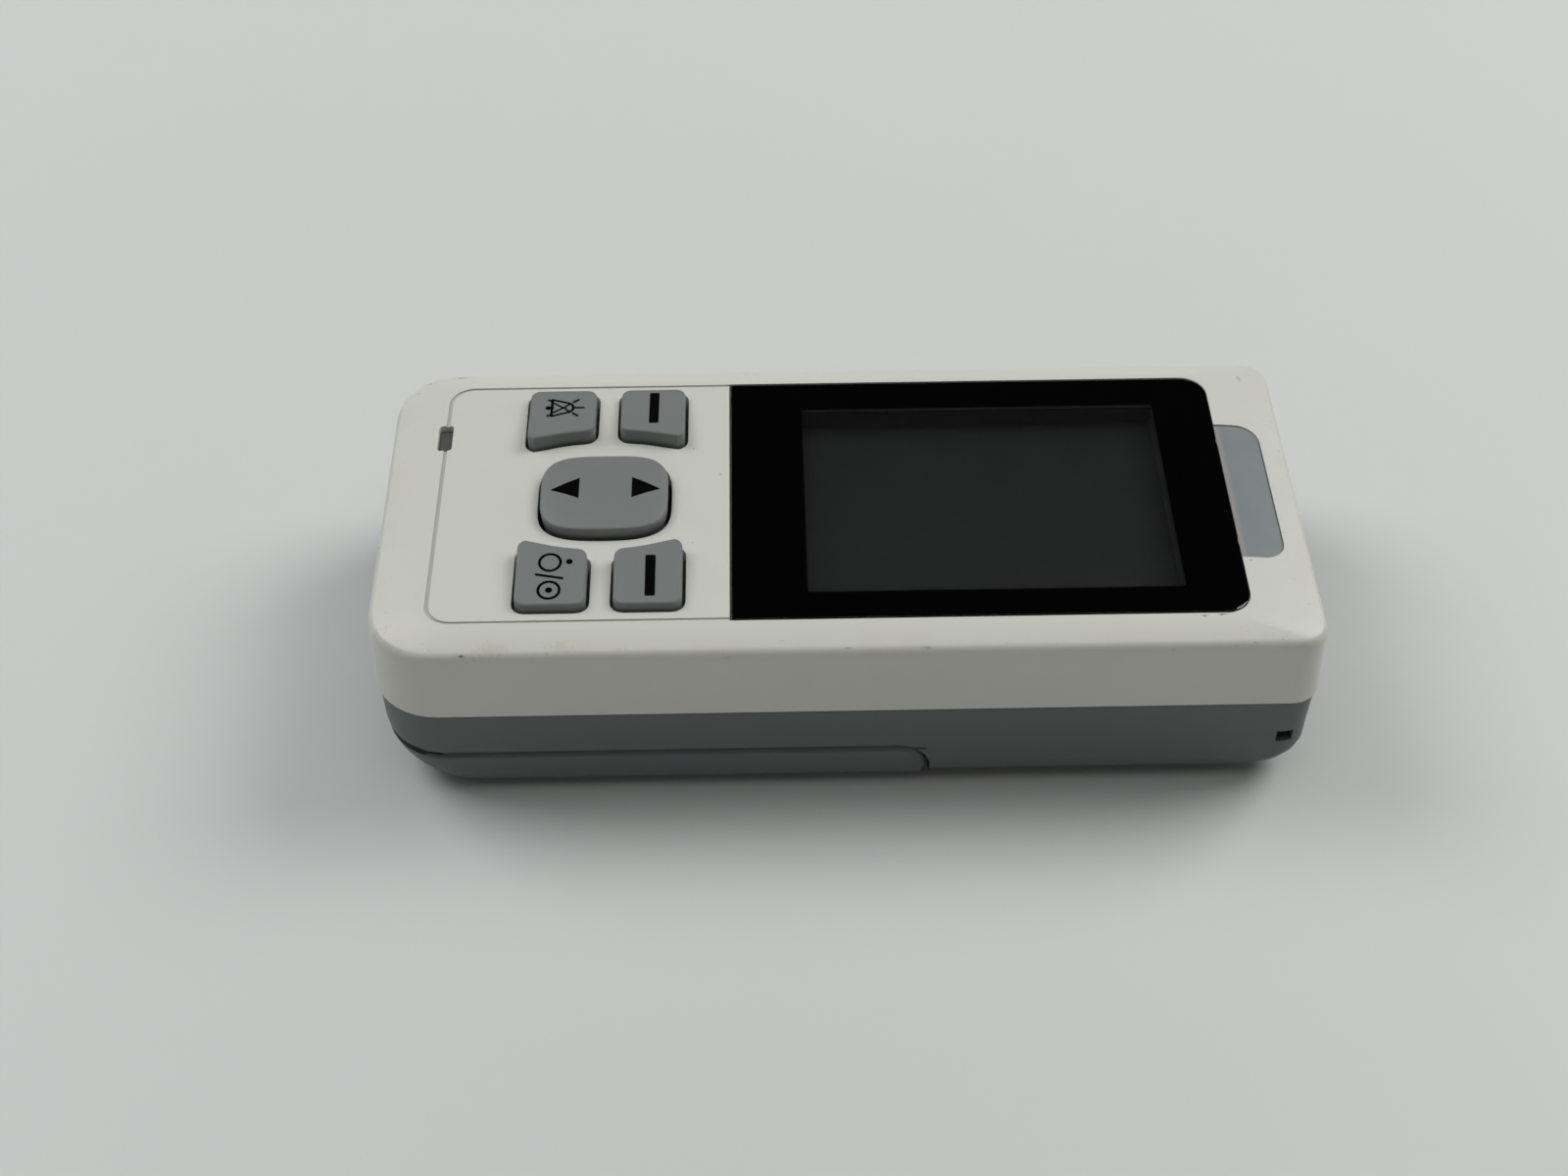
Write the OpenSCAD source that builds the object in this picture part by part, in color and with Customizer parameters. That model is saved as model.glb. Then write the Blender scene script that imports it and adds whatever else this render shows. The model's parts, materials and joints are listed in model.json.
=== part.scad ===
// Hand-held control unit of a portable ultrasound therapy set, lying on its back.
// X runs along the length, from the key end to the lamp end. Y runs across the unit,
// and -Y is the near side. Z = 0 is the table, which the battery door rests on.

/* [Housing] */
// Length over the parting line
body_l = 124; // [122:1:132]
// Width over the parting line
body_w = 55.2; // [54.8:0.4:60]
// Height of the flat front panel above the table
panel_h = 28.5; // [28.5:0.25:31]
// Height of the line where front and rear shell meet
parting_h = 16.2; // [15.8:0.2:17]
// Radius of the housing's corners at the key end, seen from above
corner_r = 9; // [8:0.25:10]
// Radius of the tighter corners at the lamp end
lamp_corner_r = 4.2; // [3.8:0.1:5]
// Thickness of the shells' side walls
wall = 2; // [1.8:0.1:2.2]
// Thickness of the front shell's top wall
front_wall = 2.2; // [2.1:0.1:2.3]
// How far the front shell leans in from the parting line to the shoulder
side_draft = 0.5; // [0.2:0.1:0.8]
// Drop from the panel to the shoulder
rim_drop = 1.6; // [1.3:0.1:1.9]
// Radius of the soft shoulder
shoulder_r = 1.3; // [1:0.1:1.5]
// Width of the dark gap between the two shells
parting_gap = 0.35; // [0.25:0.05:0.5]
// How far the rear shell stands back from the front shell
rear_step = 0.35; // [0.2:0.05:0.5]
// Radius of the rear shell's lower edge along the sides
rear_edge_r = 4.5; // [4:0.25:5]
// How far the underside's sweep reaches in from the key end
key_end_run = 12; // [10:0.5:13]
// How high that sweep rises
key_end_rise = 9; // [8:0.5:10]
// How far the underside's sweep reaches in from the lamp end
lamp_end_run = 8; // [6:0.5:9]
// How high that sweep rises
lamp_end_rise = 6.5; // [5.5:0.5:7]
// Height of the rear shell's own underside above the table
rear_foot = 0.6; // [0.4:0.1:0.8]
// Height of the tongue that joins the shells
lip_h = 1.4; // [1:0.1:2]
// Thickness of that tongue
lip_t = 1; // [0.8:0.1:1.1]
// Running clearance of the tongue in its rebate
lip_gap = 0.15; // [0.1:0.05:0.25]

/* [Panel] */
// Rim between the panel and the long sides
rim_side = 4.9; // [4.6:0.1:5.2]
// Rim between the panel and the key end
rim_left = 7.9; // [7.4:0.1:8.4]
// Rim between the window and the lamp end
rim_right = 10.1; // [9.9:0.1:10.6]
// Corner radius of the panel's outline
panel_r = 3.5; // [3:0.25:4.5]
// Width of the groove round the key panel
groove_w = 0.5; // [0.4:0.1:0.8]
// Depth of that groove
groove_d = 0.25; // [0.2:0.05:0.5]

/* [Display] */
// Length of the window
window_l = 66.5; // [65:0.5:68]
// Thickness of the window
window_t = 1.2; // [1:0.1:1.3]
// Thickness of the adhesive frame under it
tape_t = 0.15; // [0.1:0.05:0.2]
// Gap round the window
window_gap = 0.3; // [0.2:0.05:0.4]
// Corner radius of the window at the lamp end
window_r = 3.2; // [2.5:0.1:3.5]
// Length of the clear view
view_l = 48.9; // [46:0.1:49.5]
// Width of the clear view
view_w = 35; // [33:0.5:36]
// Distance from the window's key end to the clear view
view_start = 9.8; // [9:0.1:10.5]
// Depth of the display's surface below the panel
display_depth = 4.1; // [3.9:0.1:4.2]
// Length of the display module
display_l = 60.3; // [59:0.1:61]
// Width of the display module
display_w = 42.7; // [41:0.1:43]
// Thickness of the display module
display_t = 2.5; // [2.2:0.1:2.6]
// Wall of the foam frame between display and window
foam_t = 1.5; // [1.2:0.1:1.8]

/* [Keys] */
// Distance from the panel's end to the middle of the keys
keys_in = 22.5; // [22:0.1:23]
// Clear gap between two keys of a row
key_split = 3.5; // [3.3:0.1:4]
// Distance of the keys' outer edges from the middle line
key_edge = 20.6; // [20.2:0.1:20.9]
// Distance of the keys' inner edges from the middle line
key_inner = 11.4; // [11.2:0.1:12]
// Reach of the mute and power keys from the keys' middle
left_reach = 10.9; // [10.5:0.1:11.4]
// Reach of the two soft keys from the keys' middle
right_reach = 10.6; // [10:0.1:10.9]
// Corner radius of the keys
key_r = 1.3; // [1:0.1:1.5]
// Height of the keys' outer edges above the panel
key_rise = 1.25; // [1.1:0.05:1.4]
// Height of their inner edges, which stand higher
key_peak = 2.1; // [1.6:0.1:2.4]
// Stroke of a key
key_stroke = 0.8; // [0.6:0.05:0.9]
// Gap round the keys
key_gap = 0.45; // [0.35:0.05:0.5]
// Length of the rocker
rocker_l = 17.1; // [16.5:0.1:17.8]
// Width of the rocker
rocker_w = 14.2; // [13.6:0.1:14.4]
// Height of the rocker's crown above the panel
rocker_rise = 1.9; // [1.7:0.1:2.2]
// Radius of the dish round the rocker
dish_r = 11.7; // [11.4:0.1:12]
// Depth that the dish would have at its middle
dish_d = 0.9; // [0.7:0.1:1.2]
// Radius of a key's plunger
plunger_r = 2; // [1.7:0.1:2.1]
// Radius of the rocker's pivot pin
pivot_r = 0.9; // [0.8:0.05:1]
// Running clearance of that pin
pivot_gap = 0.06; // [0.04:0.01:0.08]

/* [Lamps] */
// Length of the alarm lens along the unit
lens_l = 5.9; // [5.5:0.1:6.3]
// Width of the alarm lens across the unit
lens_w = 25.4; // [24:0.2:26]
// Radius of the alarm lens's outer corners
lens_r = 3; // [2.4:0.1:3.4]
// Gap round the alarm lens
lens_gap = 0.12; // [0.08:0.02:0.2]
// Length of the status lamp's slot
slot_l = 5; // [4.5:0.1:5.5]
// Width of that slot
slot_w = 2; // [1.7:0.1:2.2]
// Distance of the slot's middle from the unit's middle line
slot_y = 12.4; // [11.8:0.1:13]

/* [Battery bay] */
// Length of the door
door_l = 72.8; // [72:0.2:75]
// Height of the door's side walls
door_h = 7.9; // [7.6:0.1:8.4]
// Wall of the door
door_t = 1.6; // [1.4:0.1:1.8]
// Radius of the door's end seen from the side
door_r = 4; // [3.5:0.25:4.5]
// Chamfer of the door's edge
door_bevel = 0.7; // [0.4:0.1:0.9]
// Dark gap round the door's edge
door_gap = 0.5; // [0.35:0.05:0.6]
// Running clearance between door and bay
door_play = 0.35; // [0.3:0.05:0.45]
// Wall of the bay under the door
skin = 1.4; // [1.2:0.1:1.6]
// Diameter of a cell
cell_d = 14.5; // [14:0.1:14.5]
// Length of a cell with its pole
cell_l = 50.5; // [49.5:0.1:50.5]
// Distance between the cells' middles
cell_pitch = 14.9; // [14.8:0.1:15]
// Length of a contact spring
spring_l = 3; // [2.8:0.1:3.4]
// Thickness of the contact plates
plate_t = 0.4; // [0.3:0.05:0.5]

/* [Boards] */
// Depth of the main board's top face below the panel
board_depth = 8.3; // [8.2:0.1:8.4]
// Thickness of the main board
board_t = 1.2; // [1:0.1:1.3]
// Radius of the posts that carry the board
post_r = 2.1; // [1.9:0.1:2.3]

/* [Screws] */
// Radius of the case screws
screw_r = 1.2; // [1.1:0.05:1.25]
// Radius of their heads
screw_head_r = 2.3; // [2.1:0.1:2.4]
// Length of their shanks
screw_l = 12; // [11:0.5:12.5]
// Radius of the front shell's screw bosses
boss_r = 2.75; // [2.5:0.05:2.9]
// Radius of the board screws
board_screw_r = 0.9; // [0.8:0.05:0.95]

/* [Lead socket] */
// Height of the socket's axis above the table
socket_h = 10.3; // [10.2:0.1:10.6]
// Radius of the socket's bore
socket_bore_r = 3.3; // [3:0.1:3.4]
// Depth of the socket's bore
socket_bore_l = 9; // [8:0.5:10]
// Radius of the socket's barrel
socket_r = 4.3; // [4.2:0.05:4.5]

/* [Lanyard bar] */
// Width of the openings beside the bar
cord_w = 2.2; // [1.9:0.1:2.4]
// Height of those openings
cord_h = 2; // [1.7:0.1:2.3]
// Height of the openings above the table
cord_z = 9; // [8.7:0.1:9.4]

/* [Hidden] */

shell_white = "#e6e2d6";
shell_grey = "#5f6a6b";
key_grey = "#6f7876";
ink_black = "#101216";
board_green = "#1f5a3c";
part_black = "#202224";
metal = "#b8bcc0";

$fn = 48;
EPS = 0.01;           // overlap that makes two cuts meet cleanly
GROOVE_IN = 0.05;     // distance of the panel's groove from the panel's edge
CORNER_STEPS = 10;    // steps round a quarter of a lofted outline
SHOULDER_END = 65;    // angle at which the shoulder runs into the rim's slope

// Places along the unit
x_left = -body_l / 2;
x_right = body_l / 2;
panel_x0 = x_left + rim_left;
window_x1 = x_right - rim_right;
window_x0 = window_x1 - window_l;
panel_hw = body_w / 2 - rim_side;
window_hw = panel_hw - window_gap;
keys_x = panel_x0 + keys_in;
view_x0 = window_x0 + view_start;
view_x = view_x0 + view_l / 2;
lens_x0 = window_x1 + lens_gap;
door_x1 = x_left + door_l;

// Heights
z_inner = panel_h - front_wall;                  // underside of the front wall
z_wall_top = panel_h - rim_drop - shoulder_r / 2; // where the side wall starts to round
z_window = panel_h - window_t;
z_tape = z_window - tape_t;
z_display = panel_h - display_depth;
z_board = panel_h - board_depth;
z_board_low = z_board - board_t;
z_rear_top = parting_h - parting_gap;

// Inner outline of the front shell
cavity_in = side_draft + wall;
cavity_hw = body_w / 2 - cavity_in;
cavity_r = corner_r - cavity_in;
lamp_cavity_r = lamp_corner_r - cavity_in;
REAR_DRAFT = 0.15;                               // lean of the rear shell's side walls
MIN_R = 0.6;                                     // least corner radius of an inner outline
door_inset = door_t + door_play;                 // from the outer face to the bay's skin

// Battery bay
CELL_PLAY = 0.25;
POLE_PLAY = 0.1;
CONTACT_PLAY = 0.05;
bay_l = cell_l + spring_l + 2 * plate_t + POLE_PLAY;
bay_x1 = door_x1 - skin - door_gap;
bay_x0 = bay_x1 - bay_l;
cell_z = door_t + 0.4 + cell_d / 2;
bay_r = cell_d / 2 + CELL_PLAY;
bay_hw = cell_pitch + bay_r;
bay_top = cell_z + bay_r + 1.2;

// Screws, bosses and posts
BOSS_TOP = 13.5;                                 // where rear and front bosses meet
HEAD_SEAT = 6;                                   // seat of the case screws' heads
REAR_BOSS_WALL = 1.3;
head_hole_r = screw_head_r + 0.3;
boss_y = body_w / 2 - 7.8;
boss_places = [for (x = [x_left + 9.2, x_right - 8.4], s = [-1, 1]) [x, s * boss_y]];
screw_posts = [[x_left + 10.5, -5], [x_left + 10.5, 5], [window_x1 - 1.1, -16.5],
               [window_x1 - 1.1, 16.5]];
pin_posts = [[window_x0 - 1.2, -12], [window_x0 - 1.2, 12]];
PIN_R = 0.9;
HEAD_H = 1.7;                                    // height of the case screws' heads
CROSS_L = 2.6;                                   // cross recess: length, width and depth
CROSS_W = 0.5;
CROSS_D = 0.8;
BOARD_HEAD_R = 1.5;
BOARD_HEAD_H = 1.2;
BOARD_SCREW_L = 4;                               // reach of the board screws into the posts
SCREW_ROOM = 0.4;                                // free depth under a board screw's tip

// Keys
KEY_FLANGE = 0.9;                                // how far a key's flange reaches under the wall
FLANGE_T = 1;
FLANGE_PLAY = 0.15;
KEY_SIDE_R = 18.2;                               // half length of the oval that the keys follow
ROCKER_BEND = 0.56;                              // lower makes the rocker's outline squarer
DOME_H = 0.5;
DOME_R = 2.5;
MAT_T = 0.8;
key_y = (key_edge + key_inner) / 2;              // plunger's distance from the middle line
left_key_x = keys_x - (key_split / 2 + left_reach) / 2;
right_key_x = keys_x + (key_split / 2 + right_reach) / 2;
z_plunger = z_board + DOME_H + key_stroke + 0.25;
z_flange = z_inner - FLANGE_PLAY - FLANGE_T;
z_pivot = z_inner - 1.4;
ROCKER_PUSH = 5.2;                               // distance of the rocker's two plungers
EAR_T = 1.6;
ear_y = rocker_w / 2 + key_gap + 0.3;
dish_sphere_r = (dish_r * dish_r + dish_d * dish_d) / (2 * dish_d);

// Lead socket, whose rim lies flush in the +X end wall
SOCKET_RIM_T = 0.8;
socket_face = x_right - rear_step - REAR_DRAFT;
socket_rim_r = socket_r + 1.2;
socket_x0 = socket_face - socket_bore_l - 5;
NUT_T = 2;

// Rim of the front shell
shoulder_in = side_draft + shoulder_r * (1 - cos(SHOULDER_END));
z_shoulder = z_wall_top + shoulder_r * sin(SHOULDER_END);

// Display, its ribbon and the lamps
GLASS_T = 1.3;
GLASS_RIM = 2.6;                                 // glass past the ends of the clear view
GLASS_SIDE = 2;                                  // glass past its sides
DISPLAY_END = 3.9;                               // module past the +X end of the clear view
MODULE_PLAY = 0.05;
glass_hl = view_l / 2 + GLASS_RIM;
glass_hw = view_w / 2 + GLASS_SIDE;
display_x0 = view_x0 + view_l + DISPLAY_END - display_l;
RIBBON_W = 18;
RIBBON_T = 0.25;
RIBBON_HOLD = 3;                                 // how far the ribbon reaches under the module
ribbon_top = z_display - display_t + 0.4;
ribbon_low = z_board + 0.35;
ribbon_r = (ribbon_top - ribbon_low) / 2;
connector_x0 = display_x0 + RIBBON_HOLD;
CONNECTOR_L = 4;
WINDOW_LAP = 0.5;                                // window's edge past the adhesive frame
LENS_SINK = 0.2;
LENS_LIP = 0.8;
LED_L = 2.8;
LED_W = 2.2;
LED_H = 1.4;
led_x0 = lens_x0 + 1.3;
led_places = [for (i = [-1.5:1.5]) i * lens_w / 4.4];
STATUS_SINK = 1;                                 // light guide's face below the panel
STATUS_LED_H = 0.8;
GUIDE_LIP = 0.7;
SLOT_PLAY = 0.08;
SLOT_R = 0.5;
slot_x = panel_x0 + 0.1;

// Keypad
PUSH_R = 1.5;                                    // radius of the rocker's plungers
COLLAR_GAP = 0.6;
COLLAR_T = 0.7;
MAT_RIM = 1.5;                                   // mat past the keys
MAT_PLAY = 0.3;                                  // least gap between mat and ribbon
key_spots = [for (sy = [-1, 1]) each [[left_key_x, sy * key_y], [right_key_x, sy * key_y]]];
rocker_spots = [for (s = [-1, 1]) [keys_x + s * ROCKER_PUSH, 0]];
mat_x0 = keys_x - left_reach - MAT_RIM;
mat_x1 = min(keys_x + right_reach + MAT_RIM, display_x0 - ribbon_r - RIBBON_T / 2 - MAT_PLAY);
collar_top = z_flange - key_stroke - 0.35;

// What the door slides on
RAIL_H = 1;
RAIL_D = 0.5;
RAIL_Z = 6;
rail_x0 = x_left + corner_r + 1;
rail_x1 = door_x1 - door_r - 2;
GRIP_R = 7;
GRIP_D = 0.6;
GRIP_IN = 13;                                    // middle of the thumb dish from the door's end
RIDGE_W = 1;
RIDGE_PITCH = 3;

// Lanyard bar
BAR_IN = 3.9;                                    // middle of each opening from the corner's sides
CORD_WALL = 1.6;
cord_end = BAR_IN + cord_w / 2;

// Boards and what they carry
BOARD_GAP = 2;                                   // board's ends from the cavity's
board_x0 = x_left + cavity_in + BOARD_GAP;
board_x1 = x_right - cavity_in - BOARD_GAP;
board_hw = cavity_hw - 1.6;
CHIP_T = 1;
PROCESSOR_L = 14;
MEMORY_L = 8;
RADIO_L = 5;
DRIVER_L = 6;
CAN_R = 2;                                       // capacitors under the board
CAN_H = 5;
chip_h = min(CHIP_T, z_display - display_t - z_board - 0.2);
lower_x0 = bay_x1 + skin + 3;
SOUNDER_R = 6;
SOUNDER_H = 5.5;
PARTS_IN = 10;                                   // sounder and core from the driver's end
SOUNDER_Y = 13;
CORE_Y = 10;
BOARD_R = 2;
sounder_p = [lower_x0 + SOUNDER_R + PARTS_IN, SOUNDER_Y];
CORE_L = 14;
CORE_W = 12;
CORE_H = 8;
CORE_LEG = 2;                                    // width of the core's outer legs
CORE_BACK = 1.6;
CORE_PIN_R = 2;
WINDING_R = 4.4;
WINDING_PLAY = 0.1;
core_p = [lower_x0 + CORE_L / 2 + PARTS_IN, -CORE_Y];

// Lead socket's inside
INSERT_T = 3;
insert_x = socket_face - socket_bore_l;
CONTACT_R = 0.35;
CONTACT_OFF = 1.3;
contact_places = [for (v = [1, -1], y = [-1, 1]) [y * CONTACT_OFF, v * CONTACT_OFF]];
NUT_SEAT = 1;                                    // height of the pad that the nut sits on
nut_x1 = x_right - rear_step - wall - NUT_SEAT;

// Battery contacts
POLE_R = 2.7;
POLE_H = 1;
WIRE_R = 0.3;
COIL_FOOT_R = 4.4;
COIL_TIP_R = 2.6;
COIL_TURNS = 2.5;
COIL_STEPS = 16;
COIL_PLAY = 0.05;
PLATE_W = 10;
PLATE_H = 9;
TAIL_W = 3;

// ---------- outlines and solids that repeat ----------

function arc(x, y, r, a0, a1, n) =
    [for (i = [0:n]) let (a = a0 + (a1 - a0) * i / n) [x + r * cos(a), y + r * sin(a)]];

// Outline with corner radius r at the key end and r1 at the lamp end
function rounded(x0, x1, hw, r, r1) = concat(
    arc(x1 - r1, hw - r1, r1, 0, 90, CORNER_STEPS), arc(x0 + r, hw - r, r, 90, 180, CORNER_STEPS),
    arc(x0 + r, r - hw, r, 180, 270, CORNER_STEPS),
    arc(x1 - r1, r1 - hw, r1, 270, 360, CORNER_STEPS));

function at_height(outline, z) = [for (p = outline) [p[0], p[1], z]];

function mix(a, b, t) = a + (b - a) * t;

// The housing's outline, drawn in by one distance all round
function housing_ring(inset, z) =
    at_height(rounded(x_left + inset, x_right - inset, body_w / 2 - inset,
                      corner_r - inset, lamp_corner_r - inset), z);

// The rim's outline on its way from the shoulder, t = 0, to the panel, t = 1
function rim_ring(inset, t, z) =
    at_height(rounded(mix(x_left + inset, panel_x0, t), mix(x_right - inset, window_x1, t),
                      mix(body_w / 2 - inset, panel_hw, t), mix(corner_r - inset, panel_r, t),
                      mix(lamp_corner_r - inset, panel_r, t)), z);

function front_rings() = concat(
    [housing_ring(0, parting_h)],
    [for (a = [0:13:SHOULDER_END])
        housing_ring(side_draft + shoulder_r * (1 - cos(a)), z_wall_top + shoulder_r * sin(a))],
    [for (i = [1:6]) let (t = i / 6)
        rim_ring(shoulder_in, t, panel_h - (panel_h - z_shoulder) * pow(1 - t, 1.45))]);

// How far an edge rounded by run and rise lies in, at height u above its foot
function dip(u, run, rise) = u >= rise ? 0 : run * (1 - sqrt(1 - pow(1 - u / rise, 2)));

// The rear housing, drawn in by d, with its underside at foot + d: round along the sides,
// and swept up in longer curves at both ends
function rear_rings(d, foot) =
    let (r = rear_edge_r - d, side = rear_step + d, over = d > 0 ? 2 : 0, top = key_end_rise - d)
    concat([for (a = [0:10:90])
               let (u = top * (1 - cos(a)), low = side + REAR_DRAFT, edge = low + dip(u, r, r),
                    end = dip(u, lamp_end_run - d, lamp_end_rise - d))
               at_height(rounded(x_left + low + dip(u, key_end_run - d, top),
                                 x_right - low - end, body_w / 2 - edge,
                                 max(corner_r - (side + edge) / 2, MIN_R),
                                 max(lamp_corner_r - side + end - (edge - low), MIN_R)),
                         foot + d + u)],
           [at_height(rounded(x_left + side, x_right - side, body_w / 2 - side,
                              max(corner_r - side, MIN_R), max(lamp_corner_r - side, MIN_R)),
                      z_rear_top + over)]);

// Solid through a stack of outlines that all have the same number of points
module loft(rings) {
    n = len(rings[0]);
    top = (len(rings) - 1) * n;
    polyhedron(
        points = [for (ring = rings, p = ring) p],
        faces = concat(
            [[for (i = [0:n - 1]) i]],
            [for (k = [0:len(rings) - 2], i = [0:n - 1])
                [k * n + i, (k + 1) * n + i, (k + 1) * n + (i + 1) % n]],
            [for (k = [0:len(rings) - 2], i = [0:n - 1])
                [k * n + i, (k + 1) * n + (i + 1) % n, k * n + (i + 1) % n]],
            [[for (i = [n - 1:-1:0]) top + i]]));
}

// Plate with true round corners, of radius r at its -X end and r1 at its +X end
module plate(x0, x1, hw, r, z0, z1, r1 = 0) {
    end_r = r1 > 0 ? r1 : r;
    mid = (x0 + x1) / 2;
    translate([0, 0, z0]) linear_extrude(z1 - z0)
        for (e = [[x0, 1, r], [x1, -1, end_r]]) translate([e[0], 0]) mirror([e[1] > 0 ? 0 : 1, 0]) {
            half = abs(e[0] - mid) + EPS;
            translate([e[2], -hw]) square([half - e[2], 2 * hw]);
            translate([0, e[2] - hw]) square([half, 2 * (hw - e[2])]);
            for (y = [e[2] - hw, hw - e[2]]) translate([e[2], y]) circle(e[2]);
        }
}

// Plate whose corners are round at its +X end only
module tail_plate(x0, x1, hw, r, z0, z1) {
    translate([0, 0, z0]) linear_extrude(z1 - z0) {
        translate([x0, -hw]) square([x1 - x0 - r, 2 * hw]);
        translate([x0, r - hw]) square([x1 - x0, 2 * (hw - r)]);
        for (y = [r - hw, hw - r]) translate([x1 - r, y]) circle(r);
    }
}

module block(x0, x1, y0, y1, z0, z1) {
    translate([x0, y0, z0]) cube([x1 - x0, y1 - y0, z1 - z0]);
}

module rod_x(x0, x1, y, z, r) {
    translate([x0, y, z]) rotate([0, 90, 0]) cylinder(r = r, h = x1 - x0);
}

module post(p, r, z0, z1) {
    translate([p[0], p[1], z0]) cylinder(r = r, h = z1 - z0);
}

// Everything that the door's side view covers, grown by g
module door_side(g) {
    rotate([90, 0, 0]) linear_extrude(body_w * 2, center = true) {
        translate([x_left - 10, -10]) square([door_l + 10 - door_r, door_h + 10 + g]);
        translate([x_left - 10, -10]) square([door_l + 10 + g, door_h + 10 - door_r]);
        translate([door_x1 - door_r, door_h - door_r]) circle(door_r + g);
    }
}

// ---------- keys ----------

// Edge of the oval round the rocker, which the keys' inner edges follow
function oval_y(u, d) = (key_inner + d) * sqrt(1 - pow(u / (KEY_SIDE_R + d), 2));

// Outline of the far key on the +X side, seen from the keys' middle and drawn in by d
function key_outline(reach, d) =
    let (u0 = key_split / 2 + d, u1 = reach - d, v1 = key_edge - d, r = max(key_r - d, 0.2))
    concat(
        arc(u1 - r, v1 - r, r, 0, 90, 4), arc(u0 + r, v1 - r, r, 90, 180, 4),
        arc(u0 + r, oval_y(u0 + r, d) + r, r, 180, 264, 4),
        [for (i = [1:3]) let (u = mix(u0 + r, u1 - r, i / 4)) [u, oval_y(u, d)]],
        arc(u1 - r, oval_y(u1 - r, d) + r, r, 285, 360, 4));

function rocker_outline(d) =
    [for (i = [0:47]) let (a = i * 7.5, c = cos(a), s = sin(a))
        [(rocker_l / 2 - d) * sign(c) * pow(abs(c), ROCKER_BEND),
         (rocker_w / 2 - d) * sign(s) * pow(abs(s), ROCKER_BEND)]];

// A key's outline on its sloping top, let down by drop
function on_slope(outline, drop) = [for (p = outline)
    [p[0], p[1], panel_h - drop + mix(key_peak, key_rise, (p[1] - key_inner) / (key_edge - key_inner))]];

// Puts a far +X key at one of the four places: sx = -1 for the key end, sy = -1 for near
module at_key(sx, sy) {
    translate([keys_x, 0, 0]) mirror([sx < 0 ? 1 : 0, 0, 0]) mirror([0, sy < 0 ? 1 : 0, 0])
        children();
}

module key_hole(sx, sy, reach) {
    at_key(sx, sy) translate([0, 0, z_inner - 1])
        linear_extrude(front_wall + 2) polygon(key_outline(reach, -key_gap));
}

// Key cap with a narrow soft edge, its flange and plunger
module key_cap(sx, sy, reach) {
    at_key(sx, sy) {
        loft([at_height(key_outline(reach, 0), z_flange + FLANGE_T / 2),
              on_slope(key_outline(reach, 0), 0.42),
              on_slope(key_outline(reach, 0.06), 0.2),
              on_slope(key_outline(reach, 0.2), 0.06),
              on_slope(key_outline(reach, 0.42), 0)]);
        translate([0, 0, z_flange]) linear_extrude(FLANGE_T)
            polygon(key_outline(reach, -KEY_FLANGE));
        translate([(key_split / 2 + reach) / 2, key_y, z_plunger])
            cylinder(r = plunger_r, h = z_flange - z_plunger + EPS);
    }
}

// ---------- housing ----------

module front_shell() color(shell_white) difference() {
    union() {
        difference() {
            loft(front_rings());
            plate(x_left + cavity_in, x_right - cavity_in, cavity_hw, cavity_r,
                  parting_h - 1, z_inner, lamp_cavity_r);
        }
        front_tongue();
        for (p = boss_places) post(p, boss_r, BOSS_TOP, z_inner + EPS);
        for (p = screw_posts) post(p, post_r, z_board, z_inner + EPS);
        for (p = pin_posts) {
            post(p, post_r, z_board, z_inner + EPS);
            post(p, PIN_R, z_board_low, z_board + EPS);
        }
        for (s = [-1, 1])
            block(keys_x - 2, keys_x + 2, s > 0 ? ear_y : -ear_y - EAR_T,
                  s > 0 ? ear_y + EAR_T : -ear_y, z_pivot - 1.7, z_inner + EPS);
    }
    panel_groove();
    window_cut();
    lens_cut();
    slot_cut();
    translate([keys_x, 0, panel_h - dish_d + dish_sphere_r]) sphere(dish_sphere_r, $fn = 180);
    translate([keys_x, 0, z_inner - 1]) linear_extrude(front_wall + 2)
        polygon(rocker_outline(-key_gap));
    for (sy = [-1, 1]) {
        key_hole(-1, sy, left_reach);
        key_hole(1, sy, right_reach);
    }
    translate([keys_x, 0, z_pivot]) rotate([90, 0, 0])
        cylinder(r = pivot_r + pivot_gap, h = body_w / 2, center = true);
    for (p = boss_places) post(p, screw_r + 0.02, BOSS_TOP - 1, HEAD_SEAT + screw_l + 0.6);
    for (p = screw_posts) post(p, board_screw_r + 0.02, z_board - 1, z_board + BOARD_SCREW_L + SCREW_ROOM);
}

// Tongue inside the parting line, which drops into the rear shell's rebate
module front_tongue() difference() {
    plate(x_left + cavity_in - lip_t, x_right - cavity_in + lip_t, cavity_hw + lip_t,
          cavity_r + lip_t, parting_h - lip_h, parting_h + EPS, lamp_cavity_r + lip_t);
    plate(x_left + cavity_in, x_right - cavity_in, cavity_hw, cavity_r,
          parting_h - lip_h - 1, parting_h + 1, lamp_cavity_r);
}

// Groove along three sides of the key panel, which ends at the window
module panel_groove() intersection() {
    inner = GROOVE_IN + groove_w;
    difference() {
        plate(panel_x0 + GROOVE_IN, window_x1, panel_hw - GROOVE_IN, panel_r - GROOVE_IN,
              panel_h - groove_d, panel_h + 1);
        plate(panel_x0 + inner, window_x1, panel_hw - inner, panel_r - inner,
              panel_h - groove_d - 1, panel_h + 2);
    }
    block(x_left, window_x0 - window_gap, -body_w, body_w, 0, panel_h + 2);
}

module window_cut() {
    tail_plate(window_x0 - window_gap, window_x1 + lens_gap, panel_hw, window_r + window_gap,
               z_tape, panel_h + 1);
    grow = foam_t + 0.2;
    block(view_x0 - grow, view_x0 + view_l + grow, -view_w / 2 - grow, view_w / 2 + grow,
          z_inner - 1, panel_h);
}

module lens_cut() {
    tail_plate(lens_x0 - 1, lens_x0 + lens_l + lens_gap, lens_w / 2 + lens_gap, lens_r + lens_gap,
               z_inner - 1, panel_h + 1);
}

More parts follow.
